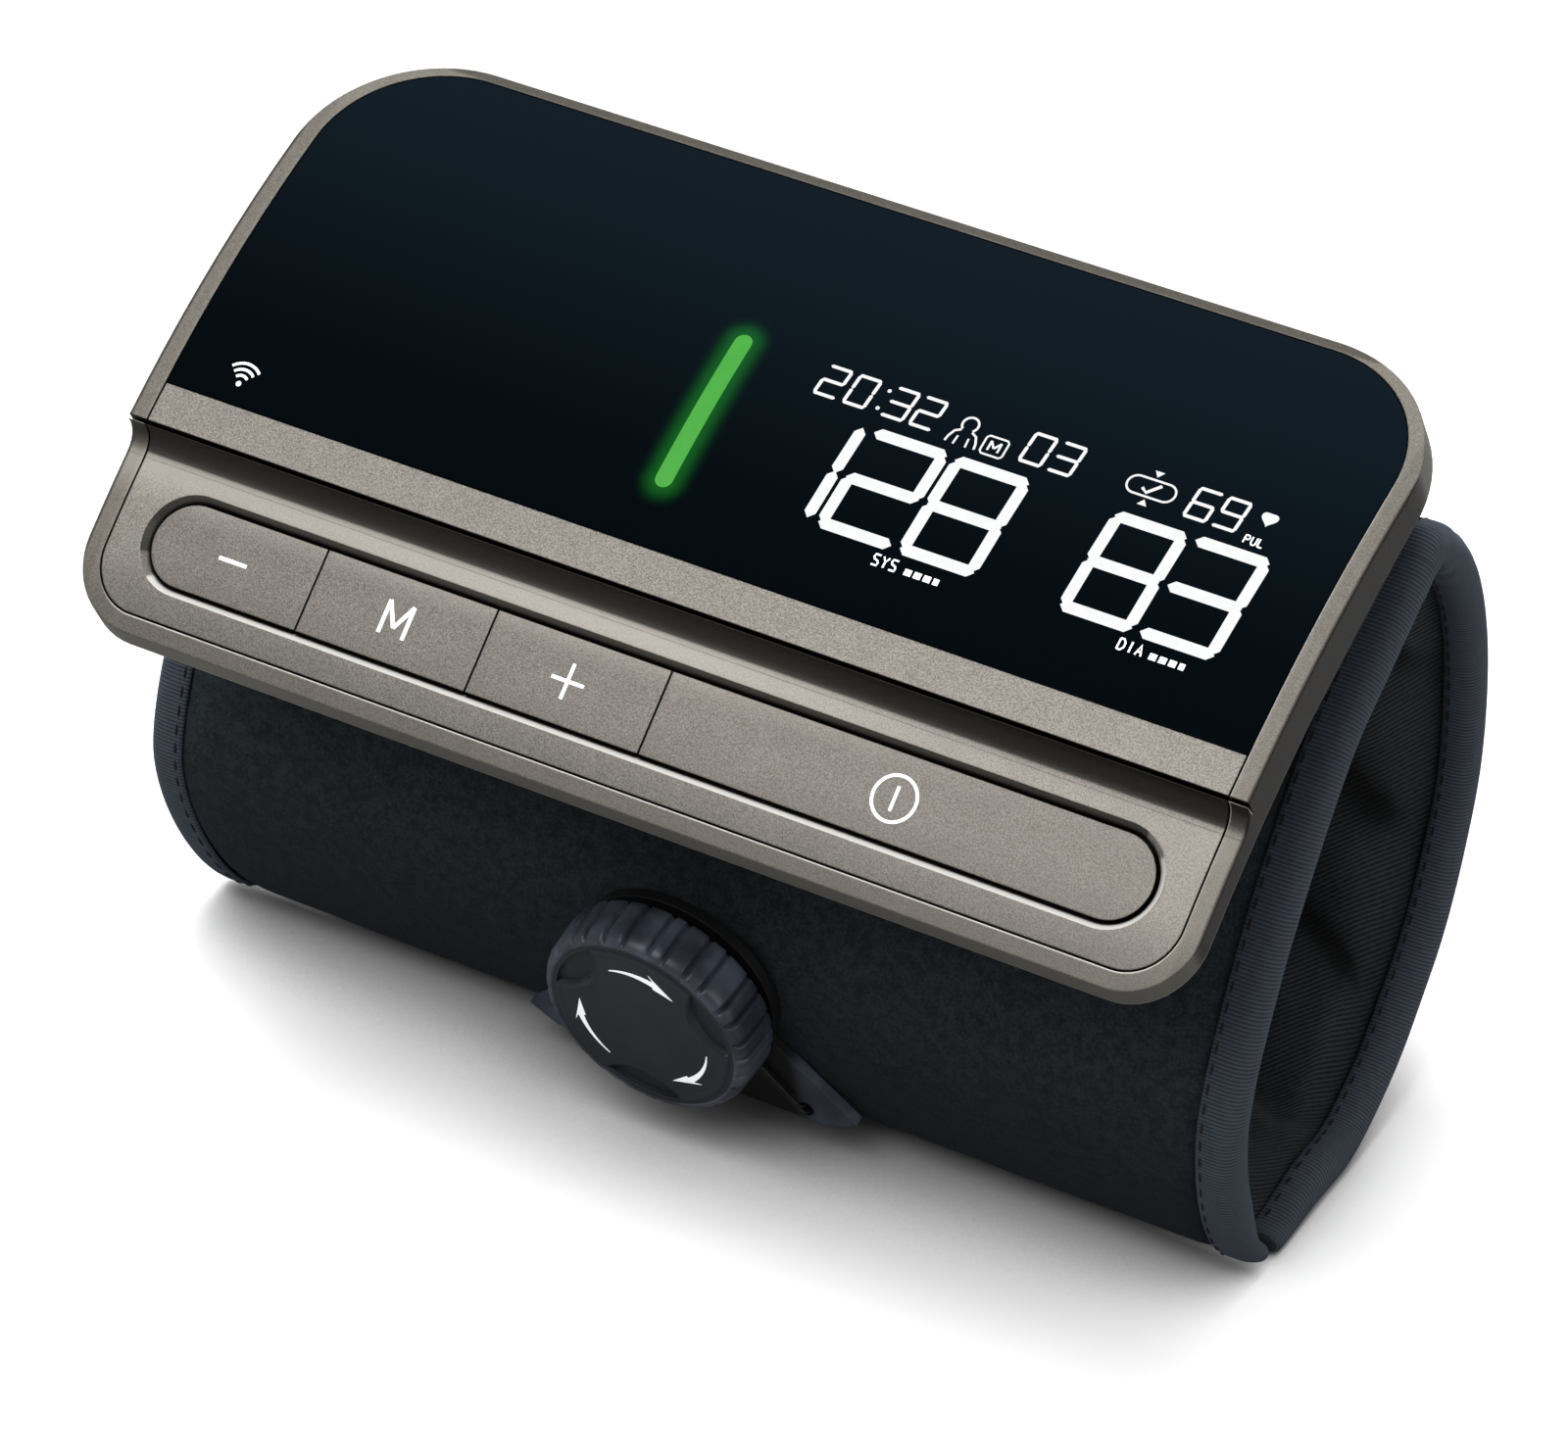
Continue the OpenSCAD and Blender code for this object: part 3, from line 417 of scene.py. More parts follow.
def slab(name, outlines, place, low, high, look):
    """Flat marks of a small thickness: each outline is a list of (x, y), place puts it in space."""
    points, faces = [], []
    for outline in outlines:
        n, first = len(outline), len(points)
        points += [place(x, y, low) for x, y in outline] + [place(x, y, high) for x, y in outline]
        for start in (first, first + n):
            for i in range((n - 1) // 2):
                a, b, c, d = start + i, start + i + 1, start + n - 2 - i, start + n - 1 - i
                faces.append((a, b, d) if b == c else (a, b, c, d))
        faces += [(first + i, first + (i + 1) % n, first + n + (i + 1) % n, first + n + i)
                  for i in range(n)]
    return outward(piece(name, points, faces, look, smooth=False))


def band(centre_line, half):
    """The outline of a stroke of half width half along a line of (x, y) points."""
    line = np.array(centre_line, float)
    along = np.gradient(line, axis=0)
    along /= np.linalg.norm(along, axis=1)[:, None]
    side = np.stack([-along[:, 1], along[:, 0]], 1) * np.reshape(half, (-1, 1))
    return [tuple(p) for p in line + side] + [tuple(p) for p in (line - side)[::-1]]


def arc(x, y, r, start, end, count=24):
    angles = np.radians(np.linspace(start, end, count))
    return [(x + r * math.cos(a), y + r * math.sin(a)) for a in angles]


def ring_marks(x, y, r, half):
    """A ring as four strokes that meet."""
    return [band(arc(x, y, r, a, a + 90.0, 12), half) for a in (0, 90, 180, 270)]


# ---------------------------------------------------------------- the cuff's section
def ray(degrees):
    """The unit vector at an angle."""
    return np.array([math.cos(math.radians(degrees)), math.sin(math.radians(degrees))])


def run(p0, a0, h0, p1, a1, h1):
    """A cubic curve's control points from its ends, their headings and the handles' lengths."""
    p0, p1 = np.array(p0, float), np.array(p1, float)
    return [p0, p0 + h0 * ray(a0), p1 - h1 * ray(a1), p1]


# The outline (y, z) runs from the crown over the crease at the back and round to the crown.
CROWN, CREASE = (6.2, 70.9), np.array([25.2, 77.6])
crease_in, crease_out = CREASE + 5.2 * ray(123), CREASE + 5.2 * ray(51)
crease_handle = 5.2 * 4 / 3 * math.tan(math.radians(18))
CURVES = [
    run(CROWN, 36, 6, crease_in, 33, 6),
    run(crease_in, 33, crease_handle, crease_out, -39, crease_handle),
    run(crease_out, -39, 13, (41.3, 47.5), -90, 12.5),
    run((41.3, 47.5), -90, 26, (8, 0), 180, 11),
    run((8, 0), 180, 5, (-8, 0), 180, 5),
    run((-8, 0), 180, 7.6, (-21.4, 24.6), 90, 12.5),
    run((-21.4, 24.6), 90, 10, CROWN, 36, 14.8),
]


def on_curve(u):
    """Point and unit heading at place u, which counts the curves from the crown."""
    u = u % 7
    p0, p1, p2, p3 = CURVES[int(u)]
    t = u - int(u)
    point = (1 - t) ** 3 * p0 + 3 * (1 - t) ** 2 * t * p1 + 3 * (1 - t) * t * t * p2 + t ** 3 * p3
    slope = (1 - t) ** 2 * (p1 - p0) + 2 * (1 - t) * t * (p2 - p1) + t * t * (p3 - p2)
    return point, slope / np.linalg.norm(slope)


table_u = np.linspace(0, 14, 2801)
table_p = np.array([on_curve(u)[0] for u in table_u])
table_s = np.concatenate([[0], np.cumsum(np.linalg.norm(np.diff(table_p, axis=0), axis=1))])
LOOP = float(np.interp(7, table_u, table_s))


def length_at(u):
    return float(np.interp(u, table_u, table_s))


def section(s, depth):
    """(y, z) at arc length s round the cuff, at a depth below its outer surface.

    What lies outside that surface is kept off the floor.
    """
    point, heading = on_curve(float(np.interp(s, table_s, table_u)))
    y, z = point + depth * np.array([heading[1], -heading[0]])
    return y, max(z, 0.02) if depth < 0 else z


def wander(s, x, scale, seed):
    """Smooth noise over the cuff, from -1 to 1, that repeats once round the loop."""
    turn = 2 * math.pi * s / LOOP
    r = LOOP / (2 * math.pi * scale)
    return noise.noise(Vector((r * math.cos(turn), r * math.sin(turn), x / scale + seed * 17.3)))


def smooth(value, low, high):
    t = min(1.0, max(0.0, (value - low) / (high - low)))
    return t * t * (3 - 2 * t)


# Half the cuff's width, the tape's width, and where the front's fabric ends past the crown.
HALF = 73.9
TAPE = 5.6
SPLIT = 0.9
FRONT_SPAN = (length_at(5.15), LOOP + length_at(SPLIT))
REAR_SPAN = (length_at(SPLIT), length_at(5.04))
# How far the cuff's left end bows out in front.
END_BOW = 4.0


def place(x, s, depth):
    """A point of the soft cuff at a depth below its outer surface."""
    round_loop = s % LOOP
    if round_loop > length_at(3):
        bow = smooth(round_loop, length_at(5.05), length_at(6.0))
    else:
        bow = 1 - smooth(round_loop, length_at(0.3), length_at(1.6))
    return (x - END_BOW * bow * smooth(-x, HALF - 50, HALF), *section(s, depth))


def pressed(s):
    """Share of the edge's thickness that is left near the slit, where the tape is drawn flat."""
    return 1 - 0.5 * (1 - smooth(abs(s % LOOP - length_at(5.1)), 1.5, 15))


def settle(made, span):
    """The front half's placement is baked into its mesh; the rear half stays with the control unit.
    """
    if span is FRONT_SPAN:
        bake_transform(made)
    else:
        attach(made, UNIT)
    return made


def stations(span, pitch):
    return np.linspace(span[0], span[1], max(8, int((span[1] - span[0]) / pitch)))


# ---------------------------------------------------------------- outer fabric
def sleeve(name, span, node):
    """The outer fabric: drawn tight over the band and tucked under the tape at both ends."""
    ss = stations(span, 1.6)
    edge = HALF - TAPE + 1.2
    xs = np.linspace(-edge, edge, 76)
    points, uv = [], []
    for s in ss:
        for x in xs:
            tuck = max(0.0, 1 - (edge - abs(x)) / 4.5) ** 2 * 0.75
            depth = tuck - 0.16 * wander(s, x, 26, 1) - 0.05 * wander(s, x, 7, 2)
            points.append(place(x, s, depth))
            uv.append((s, x))
    made = piece(name, points, grid_faces(len(ss), len(xs), False), outer_fabric, uv)
    applied(made, ("SOLIDIFY", {"thickness": 0.7 * MM, "offset": -1}))
    outward(made)
    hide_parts(node)
    return settle(made, span)


sleeve("outer_sleeve_front", FRONT_SPAN, "sleeve_front")
sleeve("outer_sleeve_rear", REAR_SPAN, "sleeve_rear")

# ---------------------------------------------------------------- binding tape
# The tape's profile: (distance in from the cuff's end, depth below the outer fabric).
TAPE_PROFILE = [
    (5.3, 0.6), (5.2, -0.02), (4.9, -0.2), (4.1, -0.26), (3.0, -0.30), (1.9, -0.24),
    (1.0, 0.12), (0.4, 0.8), (0.12, 1.8), (0.1, 2.6), (0.2, 3.5), (0.6, 4.4), (1.4, 4.95),
    (2.4, 5.16), (3.5, 5.2), (4.1, 5.08), (4.35, 4.75), (4.3, 4.2), (2.4, 3.7), (2.2, 1.0)
]


def tape(name, span, node, lap):
    """The ribbed tape folded over both ends, with its stitching; its last end may lap the next."""
    parts = []
    ss = stations((span[0], span[1] + lap), 1.1)
    for side in (-1, 1):
        rings, uv = [], []
        for s in ss:
            # The tape is gathered where the loop turns tightly behind the crown.
            gather = math.exp(-((s % LOOP - length_at(1.6)) / 9.0) ** 2)
            ring = []
            for k, (inset, depth) in enumerate(TAPE_PROFILE):
                loose = 1.0 if 11 <= k <= 16 else 0.25
                wave = 0.55 * gather * loose * math.sin(s * 1.55 + side)
                shift = 0.10 * wander(s, side * 40 + k, 9, 3) + wave
                x = side * (HALF - inset + 0.12 * wander(s, k, 12, 4))
                ring.append(place(x, s, depth * (pressed(s) if depth > 0 else 1) + shift))
                uv.append((s, k * 1.2))
            rings.append(ring)
        parts.append(tube(name, rings, tape_fabric, uv))
    made = joined(name, parts)
    applied(made, ("SUBSURF", {"levels": 1, "render_levels": 1}))
    made.data.polygons.foreach_set("use_smooth", [True] * len(made.data.polygons))
    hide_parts(node)
    settle(made, span)

    points, faces = [], []
    for side in (-1, 1):
        for inset, depth, inner in ((4.45, -0.22, False), (3.35, 5.2, True)):
            for s in np.arange(span[0] + 1.5, span[1] - 1.5, 2.5):
                flat = pressed(s) if inner else 1
                stitch(points, faces, side * (HALF - inset), s, depth * flat, inner)
    made = outward(piece(name + "_stitching", points, faces, thread))
    return settle(made, span)


def stitch(points, faces, x, s, depth, inner, length=1.55, r=0.17):
    """One thread stitch lying along the loop, as a small capsule."""
    first, rings, sides = len(points), 5, 6
    for i in range(rings):
        t = i / (rings - 1)
        swell = math.sin(math.pi * (0.12 + 0.76 * t))
        for j in range(sides):
            a = 2 * math.pi * j / sides
            lift = r * swell * math.sin(a) * (1 if inner else -1)
            base = depth + (0.02 if inner else -0.02)
            points.append(place(x + r * swell * math.cos(a), s + (t - 0.5) * length, base + lift))
    faces += [(first + i * sides + j, first + i * sides + (j + 1) % sides,
               first + (i + 1) * sides + (j + 1) % sides, first + (i + 1) * sides + j)
              for i in range(rings - 1) for j in range(sides)]
    faces.append(tuple(first + j for j in range(sides)))
    faces.append(tuple(first + (rings - 1) * sides + j for j in range(sides)))


tape("binding_tape_front", FRONT_SPAN, "edge_tape_front", 2.5)
tape("binding_tape_rear", REAR_SPAN, "edge_tape_rear", 0.0)


# ---------------------------------------------------------------- lining
def crease(s, x, seed):
    """Height of the lining's long slanting folds at a place, and how deep it is in a crease."""
    free = smooth(HALF - abs(x), 4.5, 10)
    free *= (1 - smooth(s, length_at(3.6), length_at(4.2))
             + smooth(s, length_at(5.7), length_at(6.2)))
    line = s * 0.72 - abs(x) * 0.7 + 9 * wander(s, x, 30, seed)
    puff = abs(math.cos(math.pi * line / 20)) ** 0.6
    return 3.6 * free * puff, free * (1 - puff)


def slackened(made, edge):
    """Where a sheet's points go when it grows a little with its edge held: a cloth simulation."""
    made.vertex_groups.new(name="pinned").add(edge, 1.0, "REPLACE")
    cloth = made.modifiers.new("cloth", "CLOTH")
    cloth.settings.quality = 6
    cloth.settings.mass = 0.15
    cloth.settings.tension_stiffness = 25
    cloth.settings.compression_stiffness = 25
    cloth.settings.bending_stiffness = 0.2
    cloth.settings.shrink_min = -0.05
    cloth.settings.vertex_group_mass = "pinned"
    cloth.settings.effector_weights.gravity = 0
    cloth.collision_settings.use_collision = False
    for step in range(1, 21):
        bpy.context.scene.frame_set(step)
    view = bpy.context.evaluated_depsgraph_get()
    moved = np.array([tuple(v.co) for v in made.evaluated_get(view).data.vertices])
    made.modifiers.clear()
    bpy.context.scene.frame_set(1)
    return moved


def lining(name, span, node, seed):
    """The soft inner fabric: a sheet a little too big for its frame, simulated as cloth."""
    ss = stations(span, 1.9)
    xs = np.linspace(-HALF + 3.6, HALF - 3.6, 74)
    rows, columns = len(ss), len(xs)
    rest, uv, valleys = [], [], []
    for s in ss:
        for x in xs:
            height, crease_shade = crease(s, x, seed)
            valleys.append(crease_shade)
            flat = 1 + (pressed(s) - 1) * smooth(abs(x), HALF - 10, HALF - 5)
            depth = 4.45 * flat + 0.18 * wander(s, x, 9, seed) + height
            rest.append(place(x, s, depth))
            uv.append((s, x))
    made = piece(name, rest, grid_faces(rows, columns, False), lining_fabric, uv)
    # How deep each point lies in a crease, which the lining's material darkens as painted shade.
    made.data.attributes.new("fold", "FLOAT", "POINT").data.foreach_set("value", valleys)
    rest = np.array(rest) * MM
    edge = [i * columns + j for i in range(rows) for j in range(columns)
            if i in (0, rows - 1) or j in (0, 1, columns - 2, columns - 1)]
    shift = slackened(made, edge) - rest
    # The folds stand inwards only, and stay low where the tongue lies on them.
    inward = np.array([(0, *np.subtract(section(s, 5.45), section(s, 4.45)))
                       for s in ss for x in xs])
    sunk = (shift * inward).sum(axis=1, keepdims=True)
    shift += (np.abs(sunk) - sunk) * inward
    size = np.linalg.norm(shift, axis=1)
    cap = np.array([0.2 if length_at(4.2) < s < length_at(5.65) else 2.2
                    for s in ss for x in xs]) * MM
    shift *= np.minimum(1.0, cap / np.maximum(size, 1e-9))[:, None]
    made.data.vertices.foreach_set("co", (rest + shift).ravel())
    applied(made, ("SOLIDIFY", {"thickness": 0.5 * MM, "offset": 1}),
            ("SUBSURF", {"levels": 1, "render_levels": 1}))
    outward(made)
    made.data.polygons.foreach_set("use_smooth", [True] * len(made.data.polygons))
    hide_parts(node)
    return settle(made, span)


lining("lining_front_sheet", FRONT_SPAN, "lining_front", 5)
lining("lining_rear_sheet", REAR_SPAN, "lining_rear", 6)


def tongue():
    """The soft flap behind the slit, thin at its free edge."""
    ss = stations((length_at(4.3), length_at(5.55)), 1.2)
    rings, uv = [], []
    for s in ss:
        reach = max(0.0, (s - length_at(4.8)) / (length_at(5.55) - length_at(4.8)))
        half = 60 - 6 * max(0.0, reach - 0.75) ** 2 * 16
        xs = np.linspace(-half, half, 60)
        low = 4.8 + 2.2 * reach
        thick = 0.85 * (1 - 0.5 * reach)
        ring = [(x, *section(s, low + 0.1 * wander(s, x, 11, 8))) for x in xs]
        ring += [(x, *section(s, low + thick + 0.1 * wander(s, x, 11, 8))) for x in xs[::-1]]
        rings.append(ring)
        uv += [(s, p[0]) for p in ring]
    made = tube("closure_tongue_flap", rings, lining_fabric, uv)
    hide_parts("closure_tongue")
    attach(made, UNIT)


tongue()


# ---------------------------------------------------------------- display
def unit_point(x, y, z):
    """A point of the control unit's own frame, in the row's frame."""
    return (x, UNIT_Y + y * math.cos(TILT) - z * math.sin(TILT),
            UNIT_Z + y * math.sin(TILT) + z * math.cos(TILT))


# The glass and the button panel are both bent to this radius; the glass is highest at GLASS_TOP.
BEND_R, GLASS_TOP = 152, 4.35


def on_glass(x, y, z):
    """A place on the glass, z above it."""
    radius = BEND_R - 0.05 + z
    return unit_point(x, y, -BEND_R + math.sqrt(radius * radius - (y - GLASS_TOP) ** 2))


SEGMENTS = {"0": "abcdef", "1": "bc", "2": "abged", "3": "abgcd", "6": "afgedc", "8": "abcdefg",
            "9": "abcdfg"}


def digit(figure, x, y, w, h, t, lean, gap):
    """Outlines of a seven-segment figure whose lower left corner is at (x, y)."""
    m = h / 2
    cut = t * 0.5
    across = [(gap, 0), (gap + cut, cut), (w - gap - cut, cut), (w - gap, 0),
              (w - gap - cut, -cut), (gap + cut, -cut)]
    upright = [(0, gap), (cut, gap + cut), (cut, m - gap - cut), (0, m - gap),
               (-cut, m - gap - cut), (-cut, gap + cut)]
    spots = {"a": (across, 0, h - cut), "g": (across, 0, m), "d": (across, 0, cut),
             "e": (upright, cut, cut * 0.6), "f": (upright, cut, m - cut * 0.6),
             "c": (upright, w - cut, cut * 0.6), "b": (upright, w - cut, m - cut * 0.6)}
    made = []
    for key in SEGMENTS[figure]:
        shape, dx, dy = spots[key]
        made.append([(x + dx + px + lean * (dy + py), y + dy + py) for px, py in shape])
    return made


marks = []
for figure, x, y, w, h, t in (
        ("1", 2.2, -3.9, 9.4, 14.3, 1.45), ("2", 12.1, -3.9, 10.2, 14.2, 1.45),
        ("8", 22.8, -3.8, 10.3, 14.0, 1.45), ("8", 43.7, -4.0, 9.8, 14.0, 1.45),
        ("3", 53.9, -4.0, 10.0, 14.2, 1.45)):
    marks += digit(figure, x, y, w, h, t, 0.055, 0.3)
for figure, x, y in (("2", 3.5, 11.9), ("0", 7.4, 11.9), ("3", 12.5, 11.9), ("2", 16.2, 11.9),
                     ("0", 30.6, 11.9), ("3", 34.4, 11.9), ("6", 51.9, 11.8), ("9", 55.6, 11.8)):
    marks += digit(figure, x, y, 3.1, 4.4, 0.42, 0.07, 0.1)
marks += [arc(11.9, 12.7, 0.26, 0, 330, 8), arc(12.1, 15.3, 0.26, 0, 330, 8)]
# A person, a memory tag, a cuff with a tick and two arrows, and a heart.
marks += [band(arc(23.3, 14.4, 1.0, -50, 230, 24), 0.14),
          band([(22.6, 13.5), (21.9, 13.1), (21.5, 12.2), (21.4, 11.5)], 0.14),
          band([(24.0, 13.5), (24.7, 13.1), (25.1, 12.2), (25.2, 11.5)], 0.14),
          band([(22.6, 12.6), (22.5, 11.4)], 0.12), band([(24.0, 12.6), (24.1, 11.4)], 0.12)]
marks += [band([(26.2, 11.4), (28.5, 11.4), (28.8, 11.7)], 0.12),
          band([(28.8, 11.7), (28.8, 13.6), (28.5, 13.9)], 0.12),
          band([(28.5, 13.9), (26.2, 13.9), (25.9, 13.6)], 0.12),
          band([(25.9, 13.6), (25.9, 11.7), (26.2, 11.4)], 0.12),
          band([(26.7, 12.0), (26.7, 13.3)], 0.13), band([(28.0, 12.0), (28.0, 13.3)], 0.13),
          band([(26.7, 13.3), (27.35, 12.4)], 0.13), band([(27.35, 12.4), (28.0, 13.3)], 0.13)]
marks += [band(arc(45.2, 13.9, 1.2, 90, 270, 16), 0.13),
          band(arc(48.9, 13.9, 1.2, -90, 90, 16), 0.13),
          band([(45.2, 15.1), (48.9, 15.1)], 0.13), band([(45.2, 12.7), (48.9, 12.7)], 0.13),
          band([(46.0, 13.7), (46.7, 13.2), (48.1, 14.6)], 0.2),
          [(46.4, 16.3), (47.6, 16.3), (47.0, 15.5)], [(46.4, 11.5), (47.6, 11.5), (47.0, 12.3)]]
heart = [(61.6 + 1.05 * 16 * math.sin(a) ** 3 / 16,
          14.9 + 1.05 * (13 * math.cos(a) - 5 * math.cos(2 * a) - 2 * math.cos(3 * a)
                         - math.cos(4 * a)) / 16) for a in np.linspace(0, 2 * math.pi, 33)[:-1]]
marks.append(heart)
display_marks = slab("display_figures", marks, on_glass, 0.03, 0.07, white_light)
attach(display_marks, UNIT)


def dashes(x, y, widths, h=0.8):
    """A row of small bars, which stands for a measurement's unit."""
    made = []
    for w in widths:
        made.append([(x, y), (x + w, y), (x + w, y + h), (x, y + h)])
        x += w + 0.35
    return made


def letters(word, x, y, h, wide=0.55, half=0.085):
    """Simple stroke letters for the measurement labels and the memory button."""
    w = h * wide
    strokes = {
        "S": [[(w, h), (0.1 * w, h), (0, 0.75 * h), (0.2 * w, 0.55 * h), (0.8 * w, 0.45 * h),
               (w, 0.25 * h), (0.9 * w, 0), (0, 0)]],
        "Y": [[(0, h), (w / 2, h / 2), (w, h)], [(w / 2, h / 2), (w / 2, 0)]],
        "D": [[(0, 0), (0, h)],
              [(0, h), (0.6 * w, h), (w, 0.7 * h), (w, 0.3 * h), (0.6 * w, 0), (0, 0)]],
        "I": [[(w / 2, 0), (w / 2, h)]],
        "A": [[(0, 0), (w / 2, h), (w, 0)], [(0.2 * w, 0.35 * h), (0.8 * w, 0.35 * h)]],
        "P": [[(0, 0), (0, h)],
              [(0, h), (0.8 * w, h), (w, 0.75 * h), (0.8 * w, 0.5 * h), (0, 0.5 * h)]],
        "U": [[(0, h), (0, 0.2 * h), (0.3 * w, 0), (0.7 * w, 0), (w, 0.2 * h), (w, h)]],
        "L": [[(0, h), (0, 0)], [(0, 0), (w, 0)]],
        "M": [[(0, 0), (0, h)], [(0, h), (w / 2, 0.25 * h)], [(w / 2, 0.25 * h), (w, h)],
              [(w, h), (w, 0)]],
    }
    made = []
    for letter in word:
        for line in strokes[letter]:
            made.append(band([(x + px, y + py) for px, py in line], h * half))
        x += w * 1.55
    return made


labels = letters("SYS", 20.8, -6.0, 1.35) + letters("DIA", 52.6, -6.1, 1.35)
labels += letters("PUL", 60.1, 11.1, 1.05)
for x, y in ((25.0, -6.0), (56.6, -6.1)):
    labels += dashes(x, y, [0.9, 0.9, 0.9, 0.7])
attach(slab("display_labels", labels, on_glass, 0.01, 0.04, white_print_painted_glow), UNIT)
waves = [arc(-63.6, -10.2, 0.35, 0, 330, 12)]
waves += [band(arc(-63.6, -10.2, r, 45, 135, 14), 0.17) for r in (1.1, 1.9, 2.7)]
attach(slab("wireless_mark", waves, on_glass, 0.01, 0.04, white_print_painted_glow), UNIT)
bar_y = np.concatenate([BAR_Y0 - BAR_R * np.cos(np.linspace(0, math.pi / 2, 10)),
                        np.linspace(BAR_Y0, BAR_Y1, 24)[1:-1],
                        BAR_Y1 + BAR_R * np.sin(np.linspace(0, math.pi / 2, 10))])
bar_half = [max(0.02, math.sqrt(max(0.0, BAR_R ** 2 - max(BAR_Y0 - y, y - BAR_Y1, 0.0) ** 2)))
            for y in bar_y]
bar = band([(BAR_X, y) for y in bar_y], bar_half)
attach(slab("light_bar", [bar], on_glass, 0.02, 0.06, green_light), UNIT)

# ---------------------------------------------------------------- button marks
# The panel below the step is the glass's arc, lowered by the step's height and turned about the
# step's foot; the buttons' flat tops lie KEY_DROP under it at KEY_Y.
KEY_Y, KEY_DROP = -29.1, 0.45
STEP_H, PANEL_TURN = 3.27, math.radians(1.7)
to_top = GLASS_TOP - STEP_Y
step_foot = (STEP_Y, -BEND_R + math.sqrt(BEND_R ** 2 - to_top ** 2) - STEP_H)
to_centre = (to_top, -BEND_R - STEP_H - step_foot[1])
centre = (step_foot[0] + to_centre[0] * math.cos(PANEL_TURN) - to_centre[1] * math.sin(PANEL_TURN),
          step_foot[1] + to_centre[0] * math.sin(PANEL_TURN) + to_centre[1] * math.cos(PANEL_TURN))
SLOPE = math.asin((centre[0] - KEY_Y) / BEND_R)
KEY_Z = centre[1] + math.sqrt(BEND_R ** 2 - (KEY_Y - centre[0]) ** 2)


def on_key(x, y, z):
    """A place on a button's flat top, z above it; y counts from the row's middle."""
    z -= KEY_DROP
    return unit_point(x, KEY_Y + y * math.cos(SLOPE) - z * math.sin(SLOPE),
                      KEY_Z + y * math.sin(SLOPE) + z * math.cos(SLOPE))


def key_mark(name, shapes, body):
    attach(slab(name, shapes, on_key, 0.002, 0.03, white_print_painted_glow), body)


key_mark("minus_mark", [band([(-57.9, 0), (-54.0, 0)], 0.24)], "minus_key")
key_mark("memory_mark", letters("M", -34.6, -2.0, 4.1, 0.8, 0.062), "memory_key")
key_mark("plus_mark",
         [band([(-11.6, 0), (-7.2, 0)], 0.22), band([(-9.4, -2.2), (-9.4, 2.2)], 0.22)],
         "plus_key")
key_mark("power_mark",
         ring_marks(34.1, -0.1, 2.75, 0.2) + [band([(34.1, -1.6), (34.1, 1.4)], 0.2)],
         "start_key")

# ---------------------------------------------------------------- winding dial
# Where the dial's axis meets the cuff, how far it leans, the height, radius and rise of its face,
# and the directions of the face's three hollows.
DIAL_AT = np.array([0, -21.65, 21.6])
LEAN = math.radians(101)
FACE, FACE_R, DOME = 9.6, 12.6, 0.32
HOLLOWS = (24, 144, 264)


def on_dial(x, y, z):
    """A point of the dial's frame, whose Z leaves the cuff, in the row's frame."""
    return (DIAL_AT[0] + x, DIAL_AT[1] + y * math.cos(LEAN) - z * math.sin(LEAN),
            DIAL_AT[2] + y * math.sin(LEAN) + z * math.cos(LEAN))


# The directions of the grooves between the grip's ribs, unevenly spaced.
RIB_ANGLES = np.cumsum([9, 12, 9, 14, 10, 12, 8, 13, 11, 12] * 3) * 360 / 330


def rib(angle):
    """1 in a groove between two ribs, 0 on a rib."""
    degrees = math.degrees(angle) % 360
    nearest = min(abs((degrees - a + 180) % 360 - 180) for a in RIB_ANGLES)
    return 1 - smooth(nearest, 0.9, 1.9)


def grip():
    """The rubber grip: ribs down its side that end as bumps on the rounded front edge."""
    # Radius, height and groove depth along the grip's profile.
    profile = [(12.95, 2.8, 0), (13.6, 2.75, 0.4), (14.05, 3.1, 0.7), (14.15, 4.2, 0.75),
               (14.1, 5.6, 0.75), (14.05, 7.0, 0.75), (14.0, 7.9, 0.75), (13.8, 8.7, 0.7),
               (13.45, 9.3, 0.45), (13.05, 9.6, 0.12), (12.6, 9.68, 0), (12.4, 9.4, 0)]
    steps, count = 540, len(profile)
    points = []
    for step in range(steps):
        angle = 2 * math.pi * step / steps
        groove = rib(angle)
        for r, z, depth in profile:
            wobble = 0.08 * noise.noise(Vector((math.cos(angle) * 5, math.sin(angle) * 5, z)))
            radius = r - depth * groove + (wobble if depth else 0)
            points.append(on_dial(radius * math.cos(angle), radius * math.sin(angle), z))
    faces = [(i * count + j, i * count + (j + 1) % count,
              (i + 1) % steps * count + (j + 1) % count, (i + 1) % steps * count + j)
             for i in range(steps) for j in range(count)]
    made = outward(piece("dial_rubber_grip", points, faces, dial_rubber))
    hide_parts("dial_grip")
    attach(made, "winding_dial")


def lobe(angle, r):
    """1 on the badge's raised lobes, 0 in the three hollows between them."""
    edge = 11.9
    # A circle about a point outside the face cuts each hollow.
    for hollow in HOLLOWS:
        a = math.radians(hollow)
        away = math.hypot(r * math.cos(angle) - 15.0 * math.cos(a),
                          r * math.sin(angle) - 15.0 * math.sin(a))
        edge = min(edge, r + (away - 6.6))
    return 1 - smooth(r, edge - 0.15, edge + 0.45)


